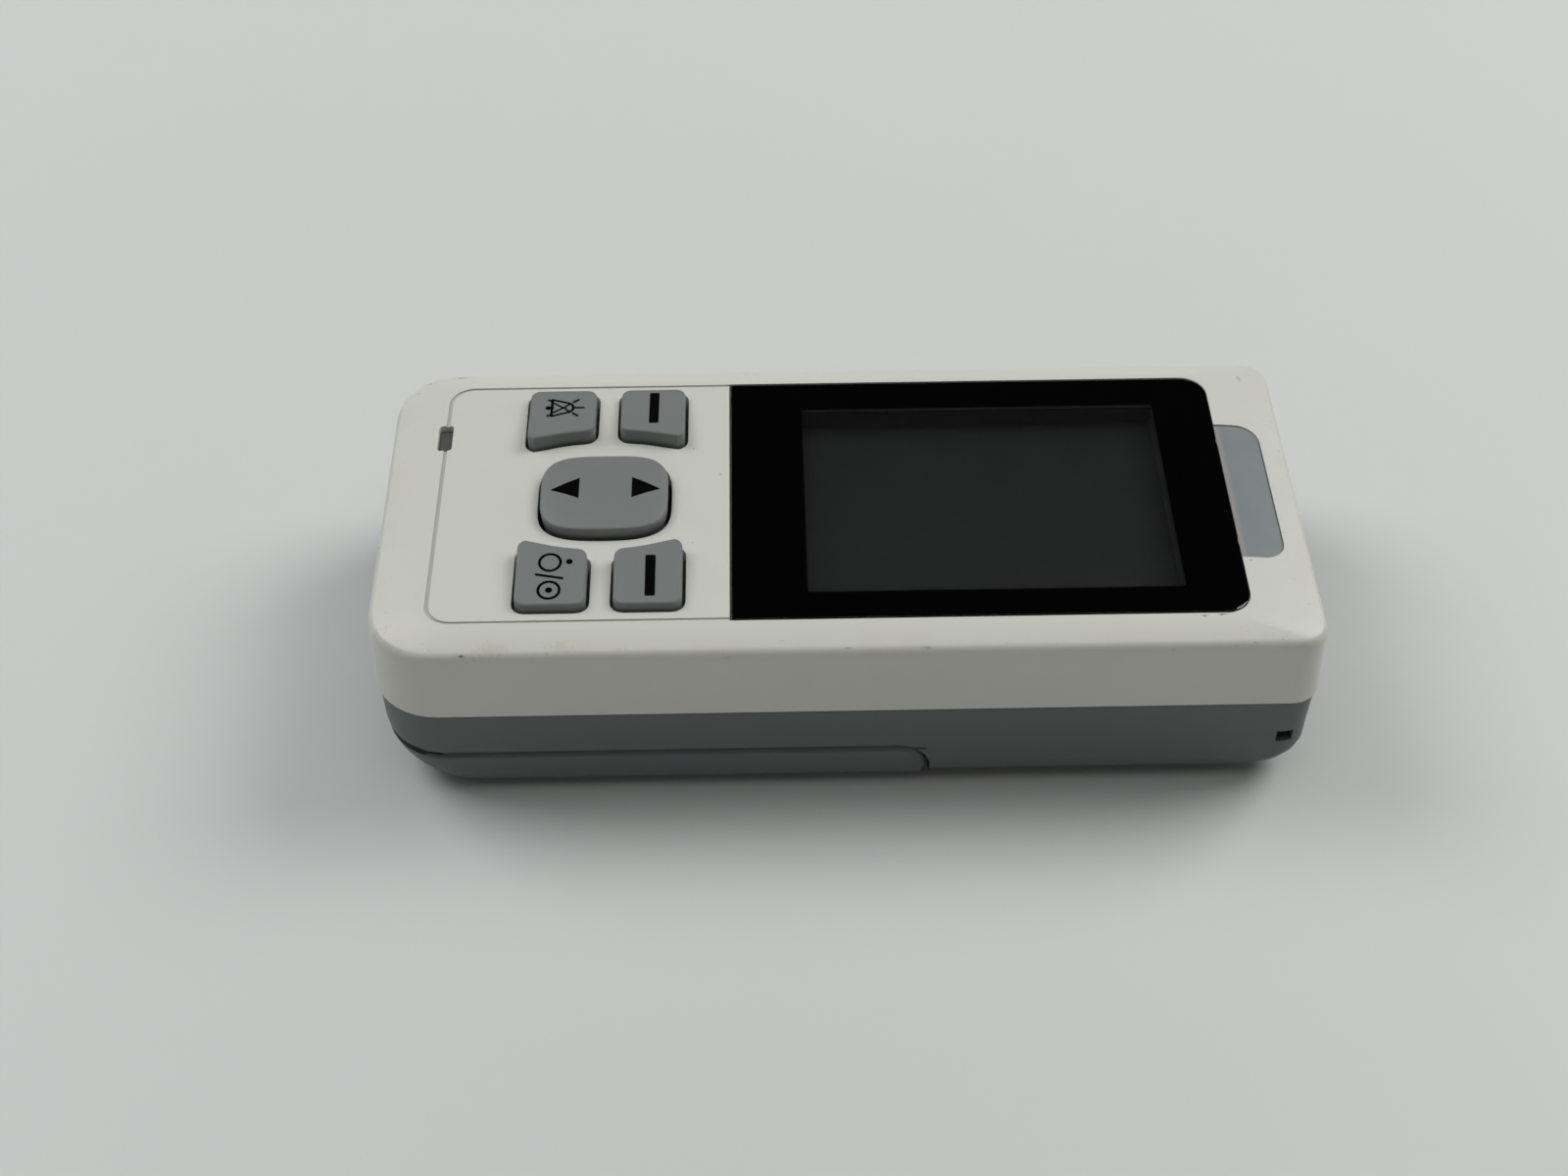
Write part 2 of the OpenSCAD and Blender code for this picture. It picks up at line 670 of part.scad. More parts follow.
module slot_cut() {
    translate([slot_x, slot_y, 0])
        plate(-slot_w / 2, slot_w / 2, slot_l / 2, SLOT_R, z_inner - 1, panel_h + 1);
}

module rear_shell() color(shell_grey) difference() {
    union() {
        difference() {
            loft(rear_rings(0, rear_foot));
            loft(rear_rings(wall, rear_foot));
            door_side(door_gap);
            tongue_rebate();
        }
        bay_skin();
        block(bay_x0 - skin, bay_x1 + skin, -bay_hw - skin, bay_hw + skin,
              rear_foot + door_inset + skin / 2, bay_top);
        for (s = [-1, 1]) intersection() {
            for (p = boss_places) if (p[0] * s > 0) post(p, head_hole_r + REAR_BOSS_WALL, 0, BOSS_TOP);
            loft(rear_rings(s < 0 ? door_inset + skin / 2 : wall / 2, rear_foot));
        }
        cord_corner();
        nut_pad();
    }
    battery_hollow();
    for (p = boss_places) {
        post(p, head_hole_r, -1, HEAD_SEAT);
        post(p, screw_r + 0.25, HEAD_SEAT - 1, BOSS_TOP + 1);
    }
    rail_grooves();
    for (end = [-1, 1]) end_plates(end, CONTACT_PLAY);
    cord_cut();
    rod_x(nut_x1 - 1, x_right + 1, 0, socket_h, socket_r + 0.05);
    rod_x(socket_face - SOCKET_RIM_T, x_right + 1, 0, socket_h, socket_rim_r + 0.1);
}

// Inner wall of the rear shell, which the door covers
module bay_skin() difference() {
    intersection() {
        loft(rear_rings(0, rear_foot));
        door_side(door_gap + skin);
    }
    loft(rear_rings(door_inset + skin, rear_foot));
    difference() {
        door_side(door_gap);
        loft(rear_rings(door_inset, rear_foot));
    }
}

// Room for the three cells, open towards the door
module battery_hollow() {
    for (i = [-1:1]) rod_x(bay_x0, bay_x1, i * cell_pitch, cell_z, bay_r);
    block(bay_x0, bay_x1, -bay_hw, bay_hw, -1, cell_z);
}

module tongue_rebate() {
    over = lip_t + lip_gap;
    plate(x_left + cavity_in - over, x_right - cavity_in + over, cavity_hw + over,
          cavity_r + over, parting_h - lip_h - 0.3, parting_h, lamp_cavity_r + over);
}

// ---------- what the door slides on ----------

module rail_grooves() {
    y0 = body_w / 2 - rear_step - REAR_DRAFT - door_inset;
    for (s = [-1, 1])
        block(x_left - 1, rail_x1 + door_play, s > 0 ? y0 - RAIL_D : -y0 - 1,
              s > 0 ? y0 + 1 : -y0 + RAIL_D, RAIL_Z - door_play, RAIL_Z + RAIL_H + door_play);
}

module battery_door() color(shell_grey) {
    difference() {
        hull() for (d = [0, door_bevel]) intersection() {
            loft(rear_rings(d, 0));
            door_side(d - door_bevel);
        }
        loft(rear_rings(door_t, 0));
        thumb_grip();
    }
    y0 = body_w / 2 - rear_step - REAR_DRAFT - door_t;
    for (s = [-1, 1])
        block(rail_x0, rail_x1, s > 0 ? y0 - RAIL_D : -y0 - 0.4, s > 0 ? y0 + 0.4 : -y0 + RAIL_D,
              RAIL_Z, RAIL_Z + RAIL_H);
}

// Shallow thumb dish with three ridges, under the end that is pushed
module thumb_grip() {
    x = door_x1 - GRIP_IN;
    difference() {
        translate([x, 0, -1]) cylinder(r = GRIP_R, h = 1 + GRIP_D);
        for (i = [-1:1])
            block(x + i * RIDGE_PITCH - RIDGE_W / 2, x + i * RIDGE_PITCH + RIDGE_W / 2,
                  -GRIP_R - 1, GRIP_R + 1, -2, 2);
    }
}

// Two openings that meet inside the near corner of the lamp end and leave the corner as a bar

module cord_corner() intersection() {
    block(x_right - cord_end - CORD_WALL, x_right, -body_w / 2, cord_end + CORD_WALL - body_w / 2,
          cord_z - cord_h / 2 - CORD_WALL, cord_z + cord_h / 2 + CORD_WALL);
    loft(rear_rings(wall / 2, rear_foot));
}

module cord_cut() translate([x_right, -body_w / 2, cord_z]) {
    translate([-cord_end, -1, -cord_h / 2]) cube([cord_w, cord_end + 1, cord_h]);
    translate([-cord_end, BAR_IN - cord_w / 2, -cord_h / 2]) cube([cord_end + 1, cord_w, cord_h]);
}

// Pad inside the lamp end that gives the socket's nut a flat seat
module nut_pad() intersection() {
    rod_x(nut_x1, x_right, 0, socket_h, socket_rim_r);
    loft(rear_rings(wall / 2, rear_foot));
    block(0, x_right, -body_w, body_w, 0, parting_h - lip_h - 2 * lip_gap);
}

// ---------- window, display and lamps ----------

module display_window() color(ink_black)
    tail_plate(window_x0, window_x1, window_hw, window_r, z_window, panel_h);

module window_tape() color(part_black) difference() {
    tail_plate(window_x0 + WINDOW_LAP, window_x1 - WINDOW_LAP, window_hw - WINDOW_LAP,
               window_r - WINDOW_LAP, z_tape, z_window);
    block(view_x0, view_x0 + view_l, -view_w / 2, view_w / 2, z_tape - 1, z_window + 1);
}

module display_foam() color(part_black) difference() {
    block(view_x0 - foam_t, view_x0 + view_l + foam_t, -view_w / 2 - foam_t, view_w / 2 + foam_t,
          z_display, z_tape);
    block(view_x0, view_x0 + view_l, -view_w / 2, view_w / 2, z_display - 1, z_tape + 1);
}

module display_glass() color("#3a3e3d")
    block(view_x - glass_hl, view_x + glass_hl, -glass_hw, glass_hw, z_display - GLASS_T, z_display);

module display_frame() color(part_black) difference() {
    block(display_x0, display_x0 + display_l, -display_w / 2, display_w / 2,
          z_display - display_t, z_display);
    block(view_x - glass_hl - MODULE_PLAY, view_x + glass_hl + MODULE_PLAY,
          -glass_hw - MODULE_PLAY, glass_hw + MODULE_PLAY,
          z_display - GLASS_T - MODULE_PLAY / 2, z_display + 1);
    block(display_x0 - 1, display_x0 + RIBBON_HOLD, -RIBBON_W / 2 - 1, RIBBON_W / 2 + 1,
          z_display - display_t - 1, z_display - display_t + 0.6);
}

// Flat ribbon that folds under the display's end to its connector
module display_ribbon() color("#9a6a2c") {
    translate([display_x0, 0, (ribbon_top + ribbon_low) / 2]) rotate([90, 0, 0])
        linear_extrude(RIBBON_W, center = true) difference() {
            circle(ribbon_r + RIBBON_T / 2);
            circle(ribbon_r - RIBBON_T / 2);
            translate([0, -ribbon_r * 2]) square(ribbon_r * 4);
        }
    for (z = [ribbon_top, ribbon_low])
        block(display_x0, connector_x0, -RIBBON_W / 2, RIBBON_W / 2, z - RIBBON_T / 2, z + RIBBON_T / 2);
}

module ribbon_connector() color("#d8d2c0")
    block(connector_x0, connector_x0 + CONNECTOR_L, -RIBBON_W / 2 - 1, RIBBON_W / 2 + 1, z_board,
          z_display - display_t - 0.1);

module alarm_lens() color("#aebcc0") {
    intersection() {
        translate([0, 0, -LENS_SINK]) loft(front_rings());
        tail_plate(lens_x0, lens_x0 + lens_l, lens_w / 2, lens_r, z_inner - 1, panel_h);
    }
    tail_plate(lens_x0 - LENS_LIP, lens_x0 + lens_l + LENS_LIP, lens_w / 2 + LENS_LIP,
               lens_r + LENS_LIP, z_inner - FLANGE_PLAY - FLANGE_T, z_inner - FLANGE_PLAY);
    for (y = led_places)
        block(led_x0 - 0.1, led_x0 + LED_L + 0.1, y - LED_W * 0.7, y + LED_W * 0.7,
              z_board + LED_H + 0.3, z_inner - FLANGE_PLAY - FLANGE_T / 2);
}

module alarm_leds() color("#f0ecd8")
    for (y = led_places)
        block(led_x0, led_x0 + LED_L, y - LED_W / 2, y + LED_W / 2, z_board, z_board + LED_H);

module status_light_guide() color("#3c4244") {
    translate([slot_x, slot_y, 0]) {
        plate(SLOT_PLAY - slot_w / 2, slot_w / 2 - SLOT_PLAY, slot_l / 2 - SLOT_PLAY,
              SLOT_R - SLOT_PLAY, z_board + STATUS_LED_H + 0.3, panel_h - STATUS_SINK);
        plate(-slot_w / 2 - GUIDE_LIP, slot_w / 2 + GUIDE_LIP, slot_l / 2 + GUIDE_LIP, SLOT_R,
              z_inner - FLANGE_PLAY - FLANGE_T, z_inner - FLANGE_PLAY);
    }
}

module status_led() color("#f0ecd8")
    translate([slot_x, slot_y, z_board + STATUS_LED_H / 2])
        cube([1.2, 2, STATUS_LED_H], center = true);

// ---------- keys ----------

module mute_key() color(key_grey) key_cap(-1, 1, left_reach);
module power_key() color(key_grey) key_cap(-1, -1, left_reach);
module far_soft_key() color(key_grey) key_cap(1, 1, right_reach);
module near_soft_key() color(key_grey) key_cap(1, -1, right_reach);

// Crowned rocker that tilts on a pin between two ears of the front shell
module rocker_key() color(key_grey) translate([keys_x, 0, 0]) {
    top = panel_h + rocker_rise;
    loft([at_height(rocker_outline(0.5), z_inner - 0.9),
          at_height(rocker_outline(0.1), panel_h - 0.6),
          at_height(rocker_outline(0), top - 0.95),
          at_height(rocker_outline(0.12), top - 0.72),
          at_height(rocker_outline(0.4), top - 0.55),
          at_height(rocker_outline(1.5), top - 0.33),
          at_height(rocker_outline(3.2), top - 0.1),
          at_height(rocker_outline(5), top)]);
    block(-2.2, 2.2, -rocker_w / 2 + 0.6, rocker_w / 2 - 0.6, z_pivot - 1.1, z_inner - 0.8);
    translate([0, 0, z_pivot]) rotate([90, 0, 0])
        cylinder(r = pivot_r, h = 2 * (ear_y + EAR_T) - 0.2, center = true);
    for (s = [-1, 1]) translate([s * ROCKER_PUSH, 0, z_plunger])
        cylinder(r = PUSH_R, h = z_inner - 0.8 - z_plunger);
}

// Silicone mat with a collar round each plunger
module keypad_mat() color("#8a908e") difference() {
    union() {
        plate(mat_x0, mat_x1, key_edge + MAT_RIM, 1.5, z_board, z_board + MAT_T);
        for (p = key_spots) post(p, plunger_r + COLLAR_GAP + COLLAR_T, z_board, collar_top);
        for (p = rocker_spots) post(p, DOME_R + 0.7, z_board, z_board + 1.4);
    }
    for (p = key_spots) post(p, plunger_r + COLLAR_GAP, z_board - 1, collar_top + 1);
    for (p = rocker_spots) post(p, DOME_R + 0.1, z_board - 1, z_board + 2);
}

module snap_domes() color(metal)
    for (p = concat(key_spots, rocker_spots)) translate([p[0], p[1], z_board])
        rotate_extrude() polygon(concat([[0, 0], [DOME_R - 0.1, 0]],
            [for (i = [1:4]) [(DOME_R - 0.1) * cos(i * 22.5), DOME_H * sin(i * 22.5)]]));

// ---------- boards and what they carry ----------

module main_board() color(board_green) difference() {
    plate(board_x0, board_x1, board_hw, BOARD_R, z_board_low, z_board);
    for (p = boss_places) post(p, boss_r + 0.4, 0, panel_h);
    for (p = screw_posts) post(p, board_screw_r + 0.15, 0, panel_h);
    for (p = pin_posts) post(p, PIN_R + 0.1, 0, panel_h);
}

// Chip with its middle at x, y, standing between two heights
module chip(x, y, l, w, z0, z1) {
    block(x - l / 2, x + l / 2, y - w / 2, y + w / 2, z0, z1);
}

module board_chips() color(part_black) {
    memory_x = view_x + PROCESSOR_L / 2 + MEMORY_L;
    chip(view_x, 0, PROCESSOR_L, PROCESSOR_L, z_board, z_board + chip_h);
    chip(memory_x, -PROCESSOR_L / 2, MEMORY_L, MEMORY_L + 2, z_board, z_board + chip_h);
    chip(memory_x, RADIO_L, RADIO_L, RADIO_L, z_board, z_board + chip_h);
    chip(mat_x0 - RADIO_L / 2, PROCESSOR_L - 2, RADIO_L / 2, RADIO_L / 2, z_board, z_board + CHIP_T);
    chip(lower_x0 + DRIVER_L / 2, -PROCESSOR_L, DRIVER_L, DRIVER_L, z_board_low - CHIP_T * 1.8,
         z_board_low);
    for (i = [0:2])
        post([lower_x0 + DRIVER_L / 2, 5 + i * CAN_R * 3], CAN_R, z_board_low - CAN_H, z_board_low);
}

module sounder() color(part_black) difference() {
    post(sounder_p, SOUNDER_R, z_board_low - SOUNDER_H, z_board_low);
    post(sounder_p, SOUNDER_R / 5, z_board_low - SOUNDER_H - 1, z_board_low - SOUNDER_H + 1);
}

// E-shaped core of the transformer that drives the treatment head
module drive_transformer() color("#3b3a3c") translate([core_p[0], core_p[1], z_board_low - CORE_H]) {
    difference() {
        block(-CORE_L / 2, CORE_L / 2, -CORE_W / 2, CORE_W / 2, 0, CORE_H);
        block(CORE_LEG - CORE_L / 2, CORE_L / 2 - CORE_LEG, -CORE_W, CORE_W, CORE_BACK,
              CORE_H - CORE_BACK);
    }
    cylinder(r = CORE_PIN_R, h = CORE_H - CORE_BACK / 2);
}

module transformer_winding() color("#a4562a")
    translate([core_p[0], core_p[1], z_board_low - CORE_H + CORE_BACK + WINDING_PLAY]) {
        h = CORE_H - 2 * (CORE_BACK + WINDING_PLAY);
        difference() {
            cylinder(r = WINDING_R, h = h);
            translate([0, 0, -1]) cylinder(r = CORE_PIN_R + WINDING_PLAY, h = h + 2);
        }
    }

// ---------- lead socket ----------

module lead_socket() color(metal) difference() {
    union() {
        rod_x(socket_x0, socket_face, 0, socket_h, socket_r);
        rod_x(socket_face - SOCKET_RIM_T, socket_face, 0, socket_h, socket_rim_r);
    }
    rod_x(socket_face - socket_bore_l, socket_face + 1, 0, socket_h, socket_bore_r);
    rod_x(socket_x0 - 1, socket_face, 0, socket_h, socket_bore_r - 0.6);
}

module socket_insert() color(part_black) difference() {
    rod_x(insert_x - INSERT_T, insert_x, 0, socket_h, socket_bore_r - 0.62);
    for (p = contact_places)
        rod_x(insert_x - INSERT_T - 1, insert_x + 1, p[0], socket_h + p[1], CONTACT_R);
}

// Contacts with tails that turn up to the main board; the lower pair turns farther back
module socket_contacts() color("#c9a84a")
    for (p = contact_places) {
        tail = socket_x0 - (p[1] > 0 ? 2 : 4);
        rod_x(tail, insert_x - 0.3, p[0], socket_h + p[1], CONTACT_R - 0.01);
        post([tail, p[0]], CONTACT_R - 0.01, socket_h + p[1], z_board_low);
        translate([tail, p[0], socket_h + p[1]]) sphere(CONTACT_R - 0.01);
    }

module socket_nut() color(metal) difference() {
    translate([nut_x1 - NUT_T, 0, socket_h]) rotate([0, 90, 0]) rotate([0, 0, 30])
        cylinder(r = socket_r + 1.3, h = NUT_T, $fn = 6);
    rod_x(nut_x1 - NUT_T - 1, nut_x1 + 1, 0, socket_h, socket_r + 0.03);
}

// ---------- battery ----------

// A cell in row i, -1 for the near one; dir is 1 where its pole points to +X
module cell(i, dir) {
    flat_x = dir > 0 ? bay_x0 + plate_t + spring_l : bay_x1 - plate_t - spring_l;
    translate([flat_x, i * cell_pitch, cell_z]) rotate([0, dir * 90, 0]) {
        cylinder(r = cell_d / 2, h = cell_l - POLE_H);
        cylinder(r = POLE_R, h = cell_l);
    }
}

module near_cell() color("#8c8f92") cell(-1, 1);
module middle_cell() color("#8c8f92") cell(0, -1);
module far_cell() color("#8c8f92") cell(1, 1);

// Middle of the spring's wire after i steps, for a spring of height h
function coil_point(i, h) =
    let (steps = COIL_TURNS * COIL_STEPS, a = i * 360 / COIL_STEPS,
         r = mix(COIL_FOOT_R, COIL_TIP_R, i / steps))
    [r * cos(a), r * sin(a), WIRE_R + i * (h - 2 * WIRE_R) / steps];

// Least gap between the spring's turns, measured on points at least half a turn apart
function coil_gap(h) =
    min([for (i = [0:COIL_TURNS * COIL_STEPS], j = [i + COIL_STEPS / 2:COIL_TURNS * COIL_STEPS])
        norm(coil_point(i, h) - coil_point(j, h))]) - 2 * WIRE_R;

// Conical contact spring that stands on z = 0, wound from its wide foot up
module coil(h) {
    loft([for (i = [0:COIL_TURNS * COIL_STEPS])
        let (a = i * 360 / COIL_STEPS, p = coil_point(i, h))
        [for (w = [0:60:300])
            [p[0] + WIRE_R * cos(w) * cos(a), p[1] + WIRE_R * cos(w) * sin(a), p[2] + WIRE_R * sin(w)]]]);
}

module battery_springs() color(metal)
    for (i = [-1:1]) {
        left = i != 0;
        translate([left ? bay_x0 + plate_t : bay_x1 - plate_t, i * cell_pitch, cell_z])
            rotate([0, left ? 90 : -90, 0]) coil(spring_l - COIL_PLAY);
    }

// One end's plates, grown by g: a single plate with a tail, and one that joins two cells
module end_plates(end, g) {
    x0 = end < 0 ? bay_x0 : bay_x1 - plate_t;
    single = end * cell_pitch;
    block(x0 - g, x0 + plate_t + g, single - PLATE_W / 2 - g, single + PLATE_W / 2 + g,
          cell_z - PLATE_H / 2 - g, cell_z + PLATE_H / 2 + g);
    block(x0 - g, x0 + plate_t + g, single - TAIL_W / 2 - g, single + TAIL_W / 2 + g,
          cell_z + PLATE_H / 2, z_board_low);
    joined_hw = (cell_pitch + PLATE_W) / 2 + g;
    mid = -end * cell_pitch / 2;
    block(x0 - g, x0 + plate_t + g, mid - joined_hw, mid + joined_hw,
          cell_z - PLATE_H / 2 - g, cell_z + PLATE_H / 2 + g);
}

// Contact plates at both ends of the bay, whose tails reach up to the main board
module contact_plates() color(metal) for (end = [-1, 1]) end_plates(end, 0);

// ---------- screws ----------

module case_screws() color(metal)
    for (p = boss_places) difference() {
        union() {
            post(p, screw_head_r, HEAD_SEAT - HEAD_H, HEAD_SEAT);
            post(p, screw_r, HEAD_SEAT - EPS, HEAD_SEAT + screw_l);
        }
        for (a = [0, 90]) translate([p[0], p[1], HEAD_SEAT - HEAD_H]) rotate([0, 0, a])
            cube([CROSS_L, CROSS_W, 2 * CROSS_D], center = true);
    }

module board_screws() color(metal)
    for (p = screw_posts) {
        post(p, BOARD_HEAD_R, z_board_low - BOARD_HEAD_H, z_board_low);
        post(p, board_screw_r, z_board_low - EPS, z_board + BOARD_SCREW_L);
    }

echo(str("Least gap between a contact spring's turns: ", coil_gap(spring_l - COIL_PLAY), " mm"));

front_shell();
rear_shell();
battery_door();
display_window();
window_tape();
display_foam();
display_glass();
display_frame();
display_ribbon();
ribbon_connector();
alarm_lens();
alarm_leds();
status_light_guide();
status_led();
mute_key();
power_key();
far_soft_key();
near_soft_key();
rocker_key();
keypad_mat();
snap_domes();
main_board();
board_chips();
sounder();
drive_transformer();
transformer_winding();
lead_socket();
socket_insert();
socket_contacts();
socket_nut();
near_cell();
middle_cell();
far_cell();
battery_springs();
contact_plates();
case_screws();
board_screws();
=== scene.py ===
"""Looks of a hand-held control unit: mesh pieces, finishes, studio and camera."""
import json
import logging
import math
from dataclasses import dataclass, field
from enum import Enum
from typing import Any, Iterable, Union

import bmesh
import bpy
from bmesh.types import BMEdge, BMesh, BMFace, BMVert
from bpy.types import Material, Node, NodeSocket, NodeTree, Object
from mathutils import Matrix, Vector
from mathutils.bvhtree import BVHTree

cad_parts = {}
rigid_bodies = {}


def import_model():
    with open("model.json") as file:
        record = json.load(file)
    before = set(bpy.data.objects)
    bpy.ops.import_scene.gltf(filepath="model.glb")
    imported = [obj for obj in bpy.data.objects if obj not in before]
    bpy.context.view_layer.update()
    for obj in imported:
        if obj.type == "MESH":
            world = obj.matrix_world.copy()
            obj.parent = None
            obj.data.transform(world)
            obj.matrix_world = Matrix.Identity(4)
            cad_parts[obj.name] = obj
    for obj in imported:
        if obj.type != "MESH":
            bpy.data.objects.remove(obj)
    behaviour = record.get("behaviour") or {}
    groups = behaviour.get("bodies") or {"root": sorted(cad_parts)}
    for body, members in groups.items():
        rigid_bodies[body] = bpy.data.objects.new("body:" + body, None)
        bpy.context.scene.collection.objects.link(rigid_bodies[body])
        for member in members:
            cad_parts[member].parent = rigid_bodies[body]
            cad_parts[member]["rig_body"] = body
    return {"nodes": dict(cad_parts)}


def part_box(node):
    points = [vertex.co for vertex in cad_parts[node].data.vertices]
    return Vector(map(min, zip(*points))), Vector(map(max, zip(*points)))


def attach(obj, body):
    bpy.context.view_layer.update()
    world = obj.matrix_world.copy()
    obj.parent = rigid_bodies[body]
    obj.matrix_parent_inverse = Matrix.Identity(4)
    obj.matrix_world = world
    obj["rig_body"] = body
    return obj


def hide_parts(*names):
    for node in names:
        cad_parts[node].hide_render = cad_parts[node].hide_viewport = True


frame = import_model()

MM = 0.001                       # one millimetre in metres
PHOTO_WIDTH = 1600               # pixels across the photograph
SENSOR_WIDTH = 36.0              # millimetres
FOCAL_PIXELS = 2300.0            # lens length in photograph pixels
OLD_NORMALS = "custom_normal"    # layer of a CAD mesh that no longer fits a reshaped copy
MERGE_GAP = 0.002 * MM           # closer vertices of a CAD mesh are one
FLAT_ANGLE = math.radians(0.4)   # neighbouring faces within this lie in one plane
CREASE = 32.0                    # degrees: a sharper edge stays a crease
ORIGIN = (0.0, 0.0, 0.0)

Triple = tuple[float, float, float]
Colour = Triple
Pair = tuple[float, float]
Number = Union[int, float, "Value"]

log = logging.getLogger("control_unit")


def toned(colour: Colour, factor: float, lift: float = 0.0) -> Colour:
    """Returns a colour made lighter or darker, up to white."""
    return tuple(min(1.0, part * factor + lift) for part in colour)


@dataclass(frozen=True)
class Outline:
    """Rectangle with round corners that lies flat on the unit, in millimetres."""

    x0: float
    x1: float
    y0: float
    y1: float
    corner: float = 0.0


DISPLAY_VIEW = Outline(-4.8, 44.1, -17.5, 17.5)


# ---------------------------------------------------------------- shader maths

class Value:
    """A shader socket that takes part in ordinary Python arithmetic."""

    def __init__(self, sheet: "Nodes", socket: NodeSocket) -> None:
        """Keeps the socket and the sheet that it belongs to.

        Args:
            sheet: sheet that new nodes go to.
            socket: output socket that gives the value.
        """
        self.sheet = sheet
        self.socket = socket

    def _math(self, operation: str, *others: Number) -> "Value":
        """Returns a Math node's result on this value and the others."""
        node = self.sheet.add("ShaderNodeMath", {"operation": operation},
                              dict(enumerate((self, *others))))
        return Value(self.sheet, node.outputs[0])

    def __add__(self, other: Number) -> "Value":
        """Returns self + other."""
        return self._math("ADD", other)

    __radd__ = __add__

    def __mul__(self, other: Number) -> "Value":
        """Returns self * other."""
        return self._math("MULTIPLY", other)

    __rmul__ = __mul__

    def __sub__(self, other: Number) -> "Value":
        """Returns self - other."""
        return self._math("SUBTRACT", other)

    def __rsub__(self, other: Number) -> "Value":
        """Returns other - self."""
        return self * -1.0 + other

    def __pow__(self, other: Number) -> "Value":
        """Returns self raised to other."""
        return self._math("POWER", other)

    def __abs__(self) -> "Value":
        """Returns the value without its sign."""
        return self._math("ABSOLUTE")

    def sine(self) -> "Value":
        """Returns the sine of the value in radians."""
        return self._math("SINE")

    def least(self, other: Number) -> "Value":
        """Returns the smaller of self and other."""
        return self._math("MINIMUM", other)

    def most(self, other: Number) -> "Value":
        """Returns the larger of self and other."""
        return self._math("MAXIMUM", other)

    def between(self, low: float, high: float) -> "Value":
        """Returns a soft step that is 0 at low and 1 at high.

        Args:
            low: value that gives 0, which may lie above high.
            high: value that gives 1.

        Returns:
            The stepped value.
        """
        node = self.sheet.add("ShaderNodeMapRange", {"interpolation_type": "SMOOTHSTEP"},
                              {"Value": self, "From Min": low, "From Max": high,
                               "To Min": 0.0, "To Max": 1.0})
        return Value(self.sheet, node.outputs[0])


class Nodes:
    """Node sheet of a material or of the world."""

    def __init__(self, tree: NodeTree) -> None:
        """Keeps the node tree and empties it.

        Args:
            tree: node tree of the material or the world.
        """
        self.tree = tree
        self.tree.nodes.clear()

    def add(self, kind: str, settings: dict[str, Any], sockets: dict[Any, Any]) -> Node:
        """Adds a node.

        Args:
            kind: Blender's name of the node type.
            settings: node settings, which are set first.
            sockets: values or links of input sockets, by name or number.

        Returns:
            The node.
        """
        node = self.tree.nodes.new(kind)
        for key, setting in settings.items():
            setattr(node, key, setting)
        for key, given in sockets.items():
            self._feed(node.inputs[key], given)
        return node

    def _feed(self, socket: NodeSocket, given: Any) -> None:
        """Links or sets one input socket.

        Args:
            socket: the input socket.
            given: a value or output socket to link, or a number, colour or vector to set.
        """
        if isinstance(given, Value):
            self.tree.links.new(given.socket, socket)
        elif isinstance(given, NodeSocket):
            self.tree.links.new(given, socket)
        elif isinstance(given, tuple) and len(socket.default_value) == 4:
            socket.default_value = (*given[:3], 1.0)
        else:
            socket.default_value = given

    def split(self, vector: Value) -> tuple[Value, Value, Value]:
        """Returns the three parts of a vector."""
        node = self.add("ShaderNodeSeparateXYZ", {}, {0: vector})
        return tuple(Value(self, out) for out in node.outputs)


